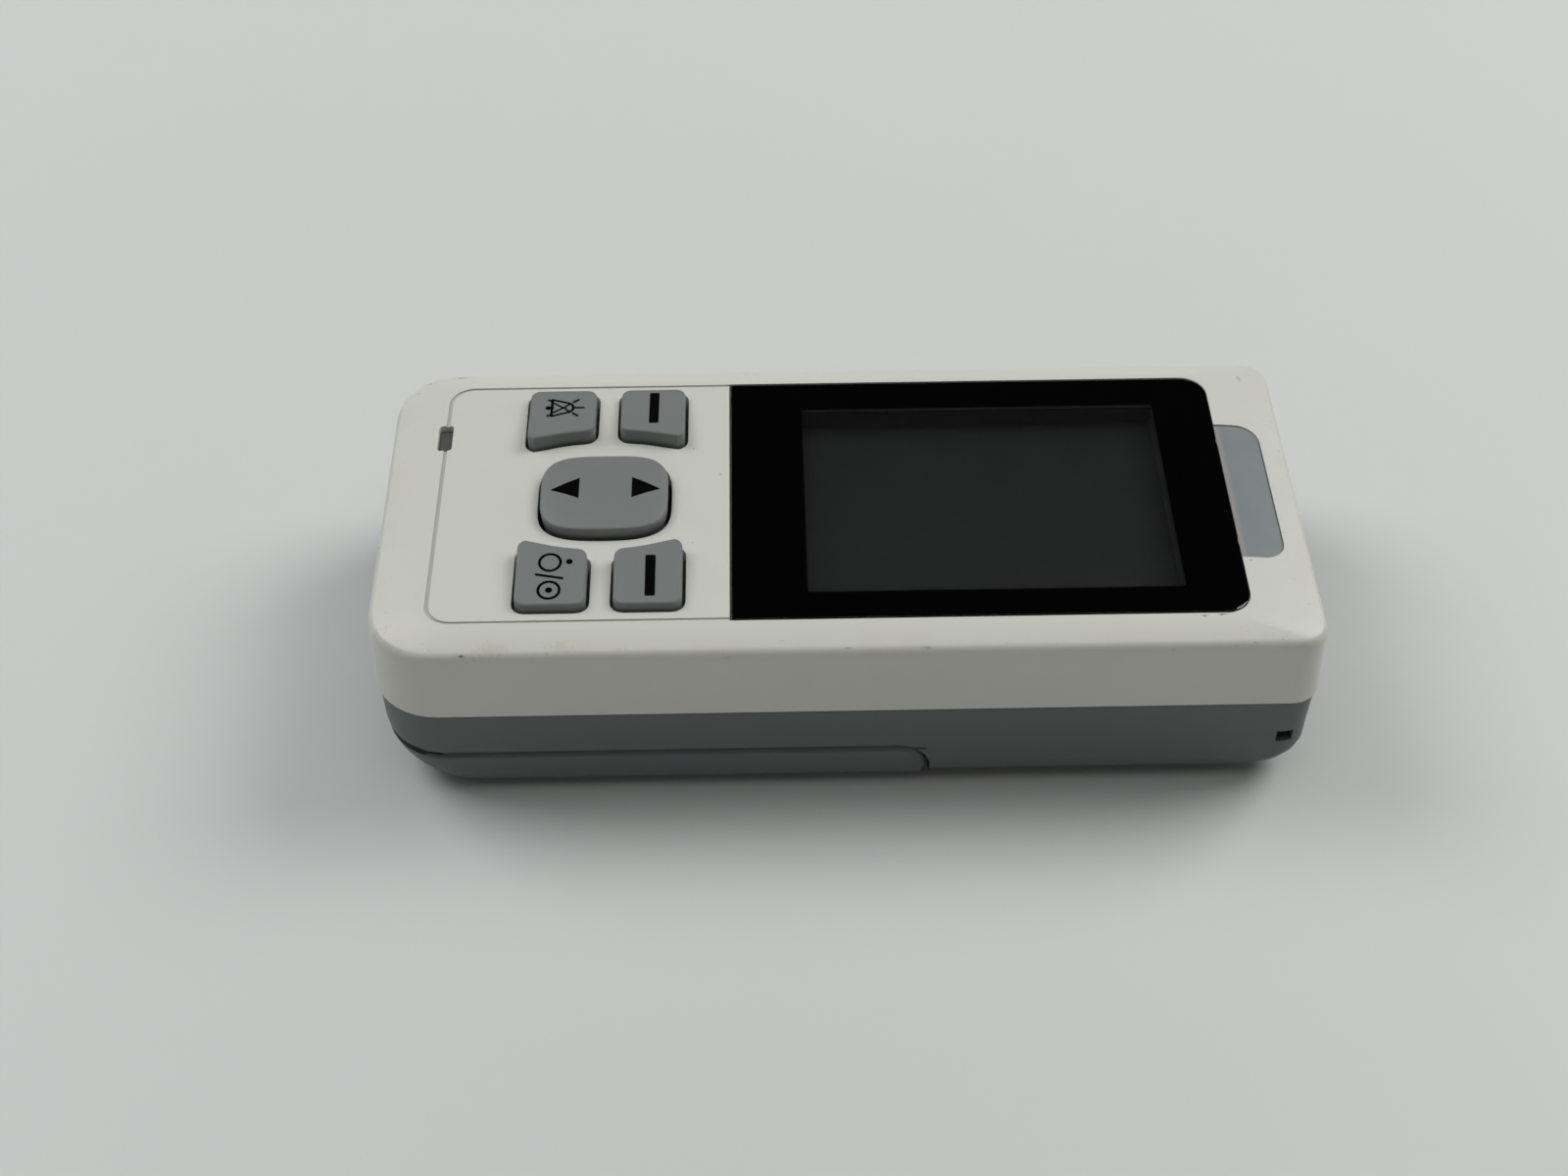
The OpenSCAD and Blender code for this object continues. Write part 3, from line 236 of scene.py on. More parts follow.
class Sheet(Nodes):
    """Node sheet of one material, with a Principled shader at its end."""

    def __init__(self, name: str) -> None:
        """Makes an empty material.

        Args:
            name: name of the material.
        """
        self.material = bpy.data.materials.new(name)
        self.material.use_nodes = True
        super().__init__(self.material.node_tree)
        self.output = self.add("ShaderNodeOutputMaterial", {}, {})
        self.shader = self.add("ShaderNodeBsdfPrincipled", {}, {})
        self.tree.links.new(self.shader.outputs[0], self.output.inputs["Surface"])

    def place(self) -> Value:
        """Finds the place on the object.

        Returns:
            The place in millimetres.
        """
        coordinates = self.add("ShaderNodeTexCoord", {}, {})
        scaled = self.add("ShaderNodeVectorMath", {"operation": "SCALE"},
                          {0: coordinates.outputs["Object"], "Scale": 1.0 / MM})
        return Value(self, scaled.outputs[0])

    def stretched(self, vector: Value, factors: Triple) -> Value:
        """Returns a vector multiplied part by part."""
        node = self.add("ShaderNodeVectorMath", {"operation": "MULTIPLY"}, {0: vector, 1: factors})
        return Value(self, node.outputs[0])

    def distance(self, vector: Value, point: Triple) -> Value:
        """Returns the distance from a point."""
        node = self.add("ShaderNodeVectorMath", {"operation": "DISTANCE"}, {0: vector, 1: point})
        return Value(self, node.outputs["Value"])

    def noise(self, vector: Value, size: float, detail: float = 3.0) -> Value:
        """Returns soft noise from 0 to 1.

        Args:
            vector: place in millimetres.
            size: width of the blotches in millimetres.
            detail: how many finer layers are added.

        Returns:
            The noise value.
        """
        node = self.add("ShaderNodeTexNoise", {"noise_dimensions": "3D"},
                        {"Vector": vector, "Scale": 1.0 / size, "Detail": detail, "Roughness": 0.55})
        return Value(self, node.outputs[0])

    def specks(self, vector: Value, size: float) -> tuple[Value, Value]:
        """Returns scattered points.

        Args:
            vector: place in millimetres.
            size: spacing of the points in millimetres.

        Returns:
            The distance from the nearest point in units of the spacing, and its random number.
        """
        node = self.add("ShaderNodeTexVoronoi", {}, {"Vector": vector, "Scale": 1.0 / size})
        tone = self.add("ShaderNodeSeparateXYZ", {}, {0: node.outputs["Color"]})
        return Value(self, node.outputs["Distance"]), Value(self, tone.outputs[0])

    def inset(self, place: Value, outline: Outline) -> Value:
        """Returns the distance in from an outline's edge, negative outside it.

        Args:
            place: place in millimetres.
            outline: the outline.

        Returns:
            The distance in millimetres.
        """
        x, y, _ = self.split(place)
        along = abs(x - (outline.x0 + outline.x1) / 2) - (outline.x1 - outline.x0) / 2
        across = abs(y - (outline.y0 + outline.y1) / 2) - (outline.y1 - outline.y0) / 2
        along, across = along + outline.corner, across + outline.corner
        outside = (along.most(0.0) ** 2.0 + across.most(0.0) ** 2.0) ** 0.5
        return outline.corner - outside - along.most(across).least(0.0)

    def mix(self, factor: Number, first: Any, second: Any) -> Value:
        """Returns a blend of two colours.

        Args:
            factor: share of the second colour.
            first: colour at factor 0.
            second: colour at factor 1.

        Returns:
            The blended colour.
        """
        node = self.add("ShaderNodeMix", {"data_type": "RGBA", "clamp_factor": True},
                        {0: factor, 6: first, 7: second})
        return Value(self, node.outputs[2])

    def bump(self, height: Value, depth: float, strength: float = 1.0) -> Value:
        """Returns a normal with a relief.

        Args:
            height: relief from 0 to 1.
            depth: height of the relief in millimetres.
            strength: how much of the relief shows.

        Returns:
            The bumped normal.
        """
        node = self.add("ShaderNodeBump", {}, {"Strength": strength, "Distance": depth * MM,
                                               "Height": height})
        return Value(self, node.outputs[0])

    def set(self, **inputs: Any) -> None:
        """Sets or links the Principled shader's inputs, with underscores for spaces."""
        for key, given in inputs.items():
            self._feed(self.shader.inputs[key.replace("_", " ")], given)


# ---------------------------------------------------------------- finishes

@dataclass(frozen=True)
class Finish:
    """A finish that is laid on pieces, by its name."""

    name: str

    def material(self) -> Material:
        """Builds the material.

        Returns:
            The material.
        """
        sheet = Sheet(self.name)
        self.paint(sheet, sheet.place())
        return sheet.material

    def paint(self, sheet: Sheet, place: Value) -> None:
        """Lays the nodes of the finish.

        Args:
            sheet: material sheet that they go to.
            place: place on the piece in millimetres.
        """
        raise NotImplementedError(self.name)

    def _edge(self, sheet: Sheet, place: Value, colour: Value) -> Value:
        """Returns the colour with its edges, which are plain unless a finish marks them."""
        return colour


@dataclass(frozen=True)
class Blemish:
    """A dark mark at one place on a moulding, drawn out along the unit, in millimetres."""

    x: float
    y: float
    z: float
    width: float
    run: float = 1.0
    strength: float = 0.8


@dataclass(frozen=True)
class MouldedPlastic(Finish):
    """Injection-moulded plastic with a fine eroded grain."""

    colour: Colour
    roughness: float = 0.5
    grain_size: float = 0.28
    grain_depth: float = 0.008
    drift: float = 0.05
    stain: Colour = (0.45, 0.40, 0.28)
    stain_amount: float = 0.0
    rubbed: float = 0.0
    # Colour of the dark marks and scuffs; on the grey shell it is the shade painted into the gaps.
    dirt_and_shade: Colour = (0.05, 0.05, 0.045)
    blemishes: tuple[Blemish, ...] = ()
    yellowed: tuple[Blemish, ...] = ()
    broad_size: float = 21.0
    cloud_size: float = 5.0
    broad_gloss: float = 0.12
    grain_gloss: float = 0.06

    def paint(self, sheet: Sheet, place: Value) -> None:
        """Lays the nodes of the finish.

        Args:
            sheet: material sheet that they go to.
            place: place on the piece in millimetres.
        """
        broad = sheet.noise(place, self.broad_size, 2.0)
        cloud = sheet.noise(place, self.cloud_size, 4.0)
        grain = sheet.noise(place, self.grain_size, 2.0)
        colour = sheet.mix(cloud * 0.5 + broad * 0.5, toned(self.colour, 1.0 - self.drift),
                           toned(self.colour, 1.0 + self.drift))
        colour = self._age(sheet, place, colour, broad, cloud)
        if self.blemishes:
            fine = sheet.noise(place, 0.5, 3.0)
            for spots, tone in ((self.yellowed, self.stain), (self.blemishes, self.dirt_and_shade)):
                for spot in spots:
                    colour = self._mark(sheet, place, colour, fine, spot, tone)
        gloss = (self.roughness + (broad - 0.5) * self.broad_gloss
                 + (grain - 0.5) * self.grain_gloss)
        sheet.set(Base_Color=colour, Roughness=gloss.least(1.0),
                  Normal=sheet.bump(grain * 0.8 + cloud * 0.2, self.grain_depth))

    def _age(self, sheet: Sheet, place: Value, colour: Value, broad: Value,
             cloud: Value) -> Value:
        """Adds handling stains and pale rubbed scratches.

        Args:
            sheet: material sheet.
            place: place in millimetres.
            colour: colour of the clean plastic.
            broad: wide noise.
            cloud: finer noise.

        Returns:
            The aged colour.
        """
        if self.stain_amount > 0.0:
            patches = broad.between(0.48, 0.72) * cloud.between(0.35, 0.65)
            colour = sheet.mix(patches * self.stain_amount, colour, self.stain)
        if self.rubbed > 0.0:
            streaks = sheet.noise(sheet.stretched(place, (0.12, 0.5, 1.2)), 0.35, 2.0)
            colour = sheet.mix(streaks.between(0.68, 0.78) * self.rubbed, colour,
                               toned(self.colour, 1.35, 0.02))
        return colour

    @staticmethod
    def _mark(sheet: Sheet, place: Value, colour: Value, fine: Value, spot: Blemish,
              tone: Colour) -> Value:
        """Adds one blemish with a broken edge.

        Args:
            sheet: material sheet.
            place: place in millimetres.
            colour: colour of the plastic under it.
            fine: noise that breaks its edge.
            spot: its place and size.
            tone: its colour.

        Returns:
            The marked colour.
        """
        squash = (spot.width / spot.run, 1.0, 1.0)
        centre = (spot.x * squash[0], spot.y, spot.z)
        near = sheet.distance(sheet.stretched(place, squash), centre)
        ragged = near + (fine - 0.5) * spot.width * 1.6
        shade = ragged.between(spot.width * 0.6, spot.width * 0.1) * spot.strength
        return sheet.mix(shade, colour, tone)


@dataclass(frozen=True)
class HousingWhite(MouldedPlastic):
    """Warm white shell plastic with handling marks along its shoulder."""

    shoulder_z: float = 26.9
    half_width: float = 27.6
    half_length: float = 62.0
    stain_band: Pair = (2.2, 0.4)
    stain_corner: float = 14.0
    stain_near: Pair = (9.0, 1.0)
    scuff_band: Pair = (1.3, 0.2)
    dot_spacing: float = 5.5
    dot_rim: Pair = (0.035, 0.015)
    dot_share: Pair = (0.72, 0.75)
    dot_strength: float = 0.6
    panel: Outline = Outline(-54.1, 60.0, -22.7, 22.7, 3.5)
    panel_rise: Pair = (27.5, 28.0)
    groove: Pair = (0.05, 0.55)
    groove_rim: float = 0.03
    groove_fade: Pair = (-49.0, -53.0)
    groove_shade: float = 0.17

    def _age(self, sheet: Sheet, place: Value, colour: Value, broad: Value,
             cloud: Value) -> Value:
        """Adds yellowed patches and grey scuffs along the shoulder.

        Args:
            sheet: material sheet.
            place: place in millimetres.
            colour: colour of the clean plastic.
            broad: wide noise.
            cloud: finer noise.

        Returns:
            The aged colour.
        """
        x, y, z = sheet.split(place)
        shoulder = abs(z - self.shoulder_z).between(*self.stain_band)
        corner = abs(x).between(self.half_length - self.stain_corner, self.half_length)
        corner = corner * 0.8 + 0.35
        near = y.between(*(-self.half_width + step for step in self.stain_near)) * 0.6 + 0.4
        patches = cloud.between(0.42, 0.62) * shoulder * corner * near
        colour = sheet.mix(patches * self.stain_amount, colour, self.stain)
        yellowed = broad.between(0.45, 0.75) * 0.25 * self.stain_amount
        colour = sheet.mix(yellowed, colour, self.stain)
        strokes = sheet.noise(sheet.stretched(place, (0.25, 1.0, 1.0)), 0.5, 3.0)
        edge = abs(z - self.shoulder_z).between(*self.scuff_band)
        scuffs = strokes.between(0.66, 0.74) * edge * self.rubbed
        colour = sheet.mix(scuffs, colour, self.dirt_and_shade)
        colour = self._shade_groove(sheet, place, colour)
        far, tone = sheet.specks(place, self.dot_spacing)
        dots = far.between(*self.dot_rim) * tone.between(*self.dot_share)
        return sheet.mix(dots * self.dot_strength, colour, self.dirt_and_shade)

    def _shade_groove(self, sheet: Sheet, place: Value, colour: Value) -> Value:
        """Paints shade on the floor of the groove round the key panel.

        Args:
            sheet: material sheet.
            place: place in millimetres.
            colour: colour of the plastic.

        Returns:
            The shaded colour.
        """
        x, _, z = sheet.split(place)
        inset = sheet.inset(place, self.panel)
        (start, end), rim = self.groove, self.groove_rim
        band = inset.between(start - rim, start + rim) * inset.between(end + rim, end - rim)
        band = band * x.between(*self.groove_fade) * z.between(*self.panel_rise)
        return sheet.mix(band, colour, toned(self.colour, 1.0 - self.groove_shade))


@dataclass(frozen=True)
class HousingGrey(MouldedPlastic):
    """Blue-grey shell plastic with painted shade in the parting line and in the gap round the door.
    """

    # Places of the painted shade: the parting line, the skin behind the door gap and the door's
    # brim.
    seam_z: float = 15.68
    door_skin: Outline = Outline(-60.4, 11.6, -26.4, 26.4)
    door_top: float = 7.3
    door_end: float = 10.2
    gap_top: Pair = (8.7, 8.6)
    gap_rim: float = 0.1
    door_brim: float = 7.56
    door_edge: Outline = Outline(-62.0, 90.0, -27.6, 27.6, 11.0)
    brim_top: Pair = (8.0, 7.95)
    brim_end: Pair = (0.5, 0.4)
    brim_width: float = 0.72
    brim_rim: float = 0.05

    def _age(self, sheet: Sheet, place: Value, colour: Value, broad: Value,
             cloud: Value) -> Value:
        """Paints shade into the gaps.

        Args:
            sheet: material sheet.
            place: place in millimetres.
            colour: colour of the clean plastic.
            broad: wide noise.
            cloud: finer noise.

        Returns:
            The aged colour.
        """
        colour = super()._age(sheet, place, colour, broad, cloud)
        x, _, z = sheet.split(place)
        rim = self.brim_rim
        behind = sheet.inset(place, self.door_skin).between(-rim, self.gap_rim)
        gap = z.between(self.door_top - self.gap_rim, self.door_top).most(
            x.between(self.door_end - self.gap_rim, self.door_end)) * z.between(*self.gap_top)
        brim = z.between(self.door_brim - rim, self.door_brim) * z.between(*self.brim_top)
        brim = brim * x.between(*(self.door_end + step for step in self.brim_end))
        outer = sheet.inset(place, self.door_edge)
        brim = brim * outer.between(self.brim_width + rim, self.brim_width - rim)
        # Painted shade in the parting line, in the door gap and on the door's brim.
        gap_shade = (behind * gap).most(brim).most(z.between(self.seam_z - rim, self.seam_z))
        return sheet.mix(gap_shade, colour, self.dirt_and_shade)


@dataclass(frozen=True)
class Ink(Finish):
    """Printed or painted black layer."""

    colour: Colour = (0.0015, 0.0015, 0.0018)
    roughness: float = 0.7
    sheen: float = 0.02

    def paint(self, sheet: Sheet, place: Value) -> None:
        """Lays the nodes of the finish.

        Args:
            sheet: material sheet that they go to.
            place: place on the piece in millimetres.
        """
        wear = sheet.noise(place, 0.6, 4.0)
        colour = sheet.mix(wear.between(0.55, 0.8), self.colour,
                           toned(self.colour, 1.4, 0.0004))
        sheet.set(Base_Color=self._edge(sheet, place, colour),
                  Roughness=self.roughness + (wear - 0.5) * 0.2,
                  Normal=sheet.bump(wear, 0.002))
        sheet.set(Specular_IOR_Level=self.sheen)


@dataclass(frozen=True)
class WindowPrint(Ink):
    """Black back print of the window, with a grey highlight painted on the far cut edge round the
    view.
    """

    view: Outline = DISPLAY_VIEW
    far_edge_highlight: Colour = (0.100, 0.104, 0.108)

    def _edge(self, sheet: Sheet, place: Value, colour: Value) -> Value:
        """Paints a grey highlight on the far cut edge.

        Args:
            sheet: material sheet.
            place: place in millimetres.
            colour: colour without its edges.

        Returns:
            The colour with them.
        """
        _, y, _ = sheet.split(place)
        # Painted highlight along the far cut edge of the view.
        cut = sheet.inset(place, self.view).between(-0.015, -0.005)
        cut = cut * y.between(self.view.y1 - 0.1, self.view.y1 - 0.05)
        return sheet.mix(cut, colour, self.far_edge_highlight)


@dataclass(frozen=True)
class ClearSheet(Finish):
    """Clear glossy window sheet with faint smears and blackened side faces."""

    heights: Pair
    tint: Colour = (0.93, 0.95, 0.96)
    smeared: Colour = (1.0, 1.0, 1.0)
    side: Colour = (0.0, 0.0, 0.0)
    roughness: float = 0.03

    def paint(self, sheet: Sheet, place: Value) -> None:
        """Lays the nodes of the finish.

        Args:
            sheet: material sheet that they go to.
            place: place on the piece in millimetres.
        """
        smear = sheet.noise(sheet.stretched(place, (0.6, 1.0, 1.0)), 9.0, 3.0)
        _, _, z = sheet.split(place)
        low, high = self.heights
        aside = z.between(low + 0.01, low + 0.02) * z.between(high - 0.02, high - 0.04)
        colour = sheet.mix(smear, self.tint, self.smeared)
        sheet.set(Roughness=self.roughness + smear.between(0.5, 0.8) * 0.03,
                  Base_Color=sheet.mix(aside, colour, self.side))
        sheet.set(Transmission_Weight=1.0, IOR=1.49, Specular_IOR_Level=0.5)


@dataclass(frozen=True)
class DisplaySurface(Finish):
    """Dull dark polariser of a display that is switched off."""

    colour: Colour = (0.0142, 0.0157, 0.0150)
    smudge: Colour = (0.0118, 0.0130, 0.0128)

    def paint(self, sheet: Sheet, place: Value) -> None:
        """Lays the nodes of the finish.

        Args:
            sheet: material sheet that they go to.
            place: place on the piece in millimetres.
        """
        cloud = sheet.noise(place, 6.0, 3.0)
        fine = sheet.noise(place, 0.09, 1.0)
        sheet.set(Base_Color=sheet.mix(cloud.between(0.55, 0.72) * 0.6, self.colour, self.smudge),
                  Roughness=0.6 + (cloud - 0.5) * 0.1,
                  Normal=sheet.bump(fine, 0.002))
        sheet.set(Specular_IOR_Level=0.25)


@dataclass(frozen=True)
class Foam(Finish):
    """Closed-cell foam."""

    colour: Colour = (0.016, 0.017, 0.021)

    def paint(self, sheet: Sheet, place: Value) -> None:
        """Lays the nodes of the finish.

        Args:
            sheet: material sheet that they go to.
            place: place on the piece in millimetres.
        """
        far, tone = sheet.specks(place, 0.22)
        sheet.set(Base_Color=sheet.mix(tone, self.colour, toned(self.colour, 1.7)),
                  Roughness=0.9 + tone * 0.05, Normal=sheet.bump(far, 0.05, 0.6))


@dataclass(frozen=True)
class FrostedLens(Finish):
    """Milky moulded lens over a lamp."""

    colour: Colour
    glow: float = 0.25
    roughness: float = 0.35

    def paint(self, sheet: Sheet, place: Value) -> None:
        """Lays the nodes of the finish.

        Args:
            sheet: material sheet that they go to.
            place: place on the piece in millimetres.
        """
        haze = sheet.noise(place, 3.5, 3.0)
        grain = sheet.noise(place, 0.12, 1.0)
        hazy = sheet.mix(haze, toned(self.colour, 0.88), self.colour)
        colour = self._edge(sheet, place, hazy)
        sheet.set(Base_Color=colour, Roughness=self.roughness + (haze - 0.5) * 0.1,
                  Normal=sheet.bump(grain, 0.003))
        sheet.set(Subsurface_Weight=self.glow, Subsurface_Radius=(1.0, 1.0, 1.0),
                  Subsurface_Scale=0.0012, IOR=1.49)


@dataclass(frozen=True)
class AlarmLens(FrostedLens):
    """Frosted lens with painted warm light along its edges and a dark line along its edge in its far
    corner.
    """

    outline: Outline = Outline(0.0, 1.0, 0.0, 1.0)
    window_x: float = 0.0
    warm: Colour = (0.30, 0.285, 0.27)
    rim_dark: Colour = (0.07, 0.052, 0.045)
    warm_near: Pair = (1.1, 0.5)
    warm_far: Pair = (-1.3, -0.5)
    warm_strength: float = 0.8
    rim_dark_line: Pair = (0.30, 0.08)
    rim_dark_beyond: Pair = (1.0, 3.0)
    rim_dark_from: Pair = (1.5, 5.0)
    rim_dark_strength: float = 0.85

    def _edge(self, sheet: Sheet, place: Value, colour: Value) -> Value:
        """Adds the painted warm light bands and the dark line along the edge.

        Args:
            sheet: material sheet.
            place: place in millimetres.
            colour: colour without its edges.

        Returns:
            The colour with them.
        """
        x, y, _ = sheet.split(place)
        inset = sheet.inset(place, self.outline)
        # Painted light: a warm glow along the window side and the far side.
        band = x.between(*(self.window_x + step for step in self.warm_near))
        far = y.between(*(self.outline.y1 + step for step in self.warm_far))
        colour = sheet.mix(band.most(far * 0.6) * self.warm_strength, colour, self.warm)
        # A darker line along the lens's edge, away from the window and the near side.
        beyond = x.between(*(self.window_x + step for step in self.rim_dark_beyond))
        line = inset.between(*self.rim_dark_line) * (beyond * 0.8 + far * 0.2).least(1.0)
        line = line * y.between(*(self.outline.y0 + step for step in self.rim_dark_from))
        return sheet.mix(line * self.rim_dark_strength, colour, self.rim_dark)


@dataclass(frozen=True)
class PlatedMetal(Finish):
    """Drawn or plated metal."""

    colour: Colour
    roughness: float = 0.28

    def paint(self, sheet: Sheet, place: Value) -> None:
        """Lays the nodes of the finish.

        Args:
            sheet: material sheet that they go to.
            place: place on the piece in millimetres.
        """
        lines = sheet.noise(sheet.stretched(place, (0.3, 2.0, 2.0)), 0.4, 3.0)
        cloud = sheet.noise(place, 2.2, 3.0)
        dull = toned(self.colour, 0.75)
        sheet.set(Base_Color=sheet.mix(cloud.between(0.4, 0.75), self.colour, dull),
                  Roughness=self.roughness + (lines - 0.5) * 0.16 + cloud * 0.08,
                  Normal=sheet.bump(lines, 0.004))
        sheet.set(Metallic=1.0)


@dataclass(frozen=True)
class BoardLacquer(Finish):
    """Green lacquered circuit board with copper tracks under it."""

    lacquer: Colour = (0.012, 0.075, 0.035)
    track: Colour = (0.03, 0.15, 0.06)

    def paint(self, sheet: Sheet, place: Value) -> None:
        """Lays the nodes of the finish.

        Args:
            sheet: material sheet that they go to.
            place: place on the piece in millimetres.
        """
        x, y, _ = sheet.split(place)
        wander = sheet.noise(place, 9.0, 1.0) * 9.0
        rows = (x * 2.6 + wander * 2.0).sine().between(0.45, 0.75)
        columns = (y * 2.2 + wander * 2.4).sine().between(0.6, 0.85)
        choose = sheet.noise(place, 14.0, 0.0).between(0.49, 0.51)
        tracks = rows * choose + columns * (1.0 - choose)
        sheet.set(Base_Color=sheet.mix(tracks, self.lacquer, self.track),
                  Roughness=0.32 + tracks * 0.08,
                  Normal=sheet.bump(tracks, 0.03))


@dataclass(frozen=True)
class StripedFilm(Finish):
    """Flat ribbon with tracks along it, or a winding with turns round it."""

    colour: Colour
    groove: Colour
    pitch: float
    along: Triple
    metallic: float = 0.0
    relief: float = 0.03

    def paint(self, sheet: Sheet, place: Value) -> None:
        """Lays the nodes of the finish.

        Args:
            sheet: material sheet that they go to.
            place: place on the piece in millimetres.
        """
        x, y, z = sheet.split(place)
        across = x * self.along[0] + y * self.along[1] + z * self.along[2]
        wave = (across * (2.0 * math.pi / self.pitch)).sine().between(-0.5, 0.6)
        patchy = sheet.noise(place, 1.8, 2.0)
        sheet.set(Base_Color=sheet.mix(wave, self.groove, self.colour),
                  Roughness=0.35 + patchy * 0.15,
                  Normal=sheet.bump(wave, self.relief))
        sheet.set(Metallic=self.metallic)


@dataclass(frozen=True)
class CellJacket(Finish):
    """Plain sleeve of a battery cell with bare metal ends."""

    ends: Pair
    sleeve: Colour = (0.035, 0.04, 0.045)
    band: Colour = (0.30, 0.31, 0.32)
    metal: Colour = (0.55, 0.55, 0.54)
    scuffed: Colour = (0.6, 0.6, 0.6)
    end_width: float = 1.1
    band_width: float = 13.0
    band_end: int = 1

    def paint(self, sheet: Sheet, place: Value) -> None:
        """Lays the nodes of the finish.

        Args:
            sheet: material sheet that they go to.
            place: place on the piece in millimetres.
        """
        x, _, _ = sheet.split(place)
        low, high = self.ends
        bare = (x - low).between(self.end_width, self.end_width - 0.1)
        bare = bare.most((x * -1.0 + high).between(self.end_width, self.end_width - 0.1))
        start = high if self.band_end > 0 else low
        banded = abs(x - start).between(self.band_width, self.band_width - 0.1)
        scuff = sheet.noise(sheet.stretched(place, (0.3, 1.5, 1.5)), 0.8, 3.0)
        colour = sheet.mix(banded, self.sleeve, self.band)
        colour = sheet.mix(bare, colour, self.metal)
        sheet.set(Base_Color=sheet.mix(scuff.between(0.6, 0.8) * 0.3, colour, self.scuffed),
                  Roughness=0.36 + scuff * 0.12, Metallic=bare * 0.8 + 0.1,
                  Normal=sheet.bump(scuff, 0.004))


# ---------------------------------------------------------------- mesh helpers

class Edge(Enum):
    """How round a piece's sharp edges are, in millimetres."""

    NONE = 0.0
    CRISP = 0.08
    SOFT = 0.16
    ROUND = 0.28


def box_mm(node: str) -> tuple[Vector, Vector]:
    """Returns the lowest and highest corner of a CAD node in millimetres."""
    low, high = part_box(node)
    return low / MM, high / MM


def report(piece: Object, body: str) -> None:
    """Logs what a finished piece is and what it rides on."""
    log.info("%s: %d faces, rides on %s", piece.name, len(piece.data.polygons), body)


def placed(name: str, data: bpy.types.ID) -> Object:
    """Puts a new object into the scene.

    Args:
        name: name of the object.
        data: mesh, lamp or camera that it shows.

    Returns:
        The object.
    """
    thing = bpy.data.objects.new(name, data)
    bpy.context.scene.collection.objects.link(thing)
    return thing


def meshed(mesh: BMesh, name: str) -> Object:
    """Puts a bmesh into the scene.

    Args:
        mesh: bmesh in metres, which is freed.
        name: name of the object.

    Returns:
        The object.
    """
    data = bpy.data.meshes.new(name)
    mesh.to_mesh(data)
    mesh.free()
    return placed(name, data)


def faces_of(verts: Iterable[BMVert]) -> list[BMFace]:
    """Returns the faces that touch some vertices, always in the same order."""
    return list(dict.fromkeys(face for vert in verts for face in vert.link_faces))


def fresh_verts(mesh: BMesh,
                before: set[BMVert]) -> list[BMVert]:
    """Returns the vertices of a bmesh that weren't there before."""
    return [vert for vert in mesh.verts if vert not in before]


def finish_piece(mesh: BMesh, name: str, material: Material,
                 body: str) -> Object:
    """Turns a bmesh into a scene object that rides on a body.

    Args:
        mesh: bmesh in metres, which is freed.
        name: name of the piece.
        material: its finish.
        body: body that carries it.

    Returns:
        The object.
    """
    piece = meshed(mesh, name)
    attributes = piece.data.attributes
    if OLD_NORMALS in attributes:
        attributes.remove(attributes[OLD_NORMALS])
    piece.data.materials.append(material)
    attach(piece, body)
    report(piece, body)
    return piece


def crease_edges(mesh: BMesh, limit: float) -> None:
    """Shades a mesh smooth, with creases at its sharp edges.

    Args:
        mesh: the mesh.
        limit: smallest angle of a crease in radians.
    """
    for face in mesh.faces:
        face.smooth = True
    for line in mesh.edges:
        line.smooth = not (line.is_manifold and line.calc_face_angle() > limit)


def even_normals(piece: Object) -> None:
    """Keeps the shading of flat faces flat beside their rounded edges.

    Args:
        piece: piece that gets the modifier.
    """
    weighted = piece.modifiers.new("even_normals", "WEIGHTED_NORMAL")
    weighted.keep_sharp = True
    weighted.weight = 80


def softened(node: str, name: str, material: Material,
             edge: Edge = Edge.SOFT, crease: float = CREASE) -> Object:
    """Makes a fine copy of a CAD node, with smooth faces and rounded outer edges.

    Args:
        node: CAD node that the piece replaces.
        name: name of the piece.
        material: its finish.
        edge: width of the rounding.
        crease: smallest angle in degrees of an edge that stays a crease.

    Returns:
        The object.
    """
    source = frame["nodes"][node]
    mesh = bmesh.new()
    mesh.from_mesh(source.data)
    bmesh.ops.remove_doubles(mesh, verts=mesh.verts, dist=MERGE_GAP)
    bmesh.ops.dissolve_limit(mesh, angle_limit=FLAT_ANGLE, verts=mesh.verts,
                             edges=mesh.edges, use_dissolve_boundaries=False,
                             delimit={"NORMAL"})
    limit = math.radians(crease)
    if edge is not Edge.NONE:
        outer = [line for line in mesh.edges
                 if line.is_manifold and line.calc_face_angle_signed() > limit]
        bmesh.ops.bevel(mesh, geom=outer, offset=edge.value * MM, offset_type="OFFSET",
                        affect="EDGES", segments=2, profile=0.5, material=-1,
                        clamp_overlap=True)
    crease_edges(mesh, limit)
    piece = finish_piece(mesh, name, material, source["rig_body"])
    even_normals(piece)
    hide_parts(node)
    return piece


def dress(nodes: Iterable[str], material: Material) -> None:
    """Gives CAD nodes a finish and keeps their meshes.

    Args:
        nodes: names of the nodes.
        material: the finish.
    """
    for node in nodes:
        piece = frame["nodes"][node]
        for slot in piece.material_slots:
            slot.material = material
        log.info("%s: dressed in %s", node, material.name)


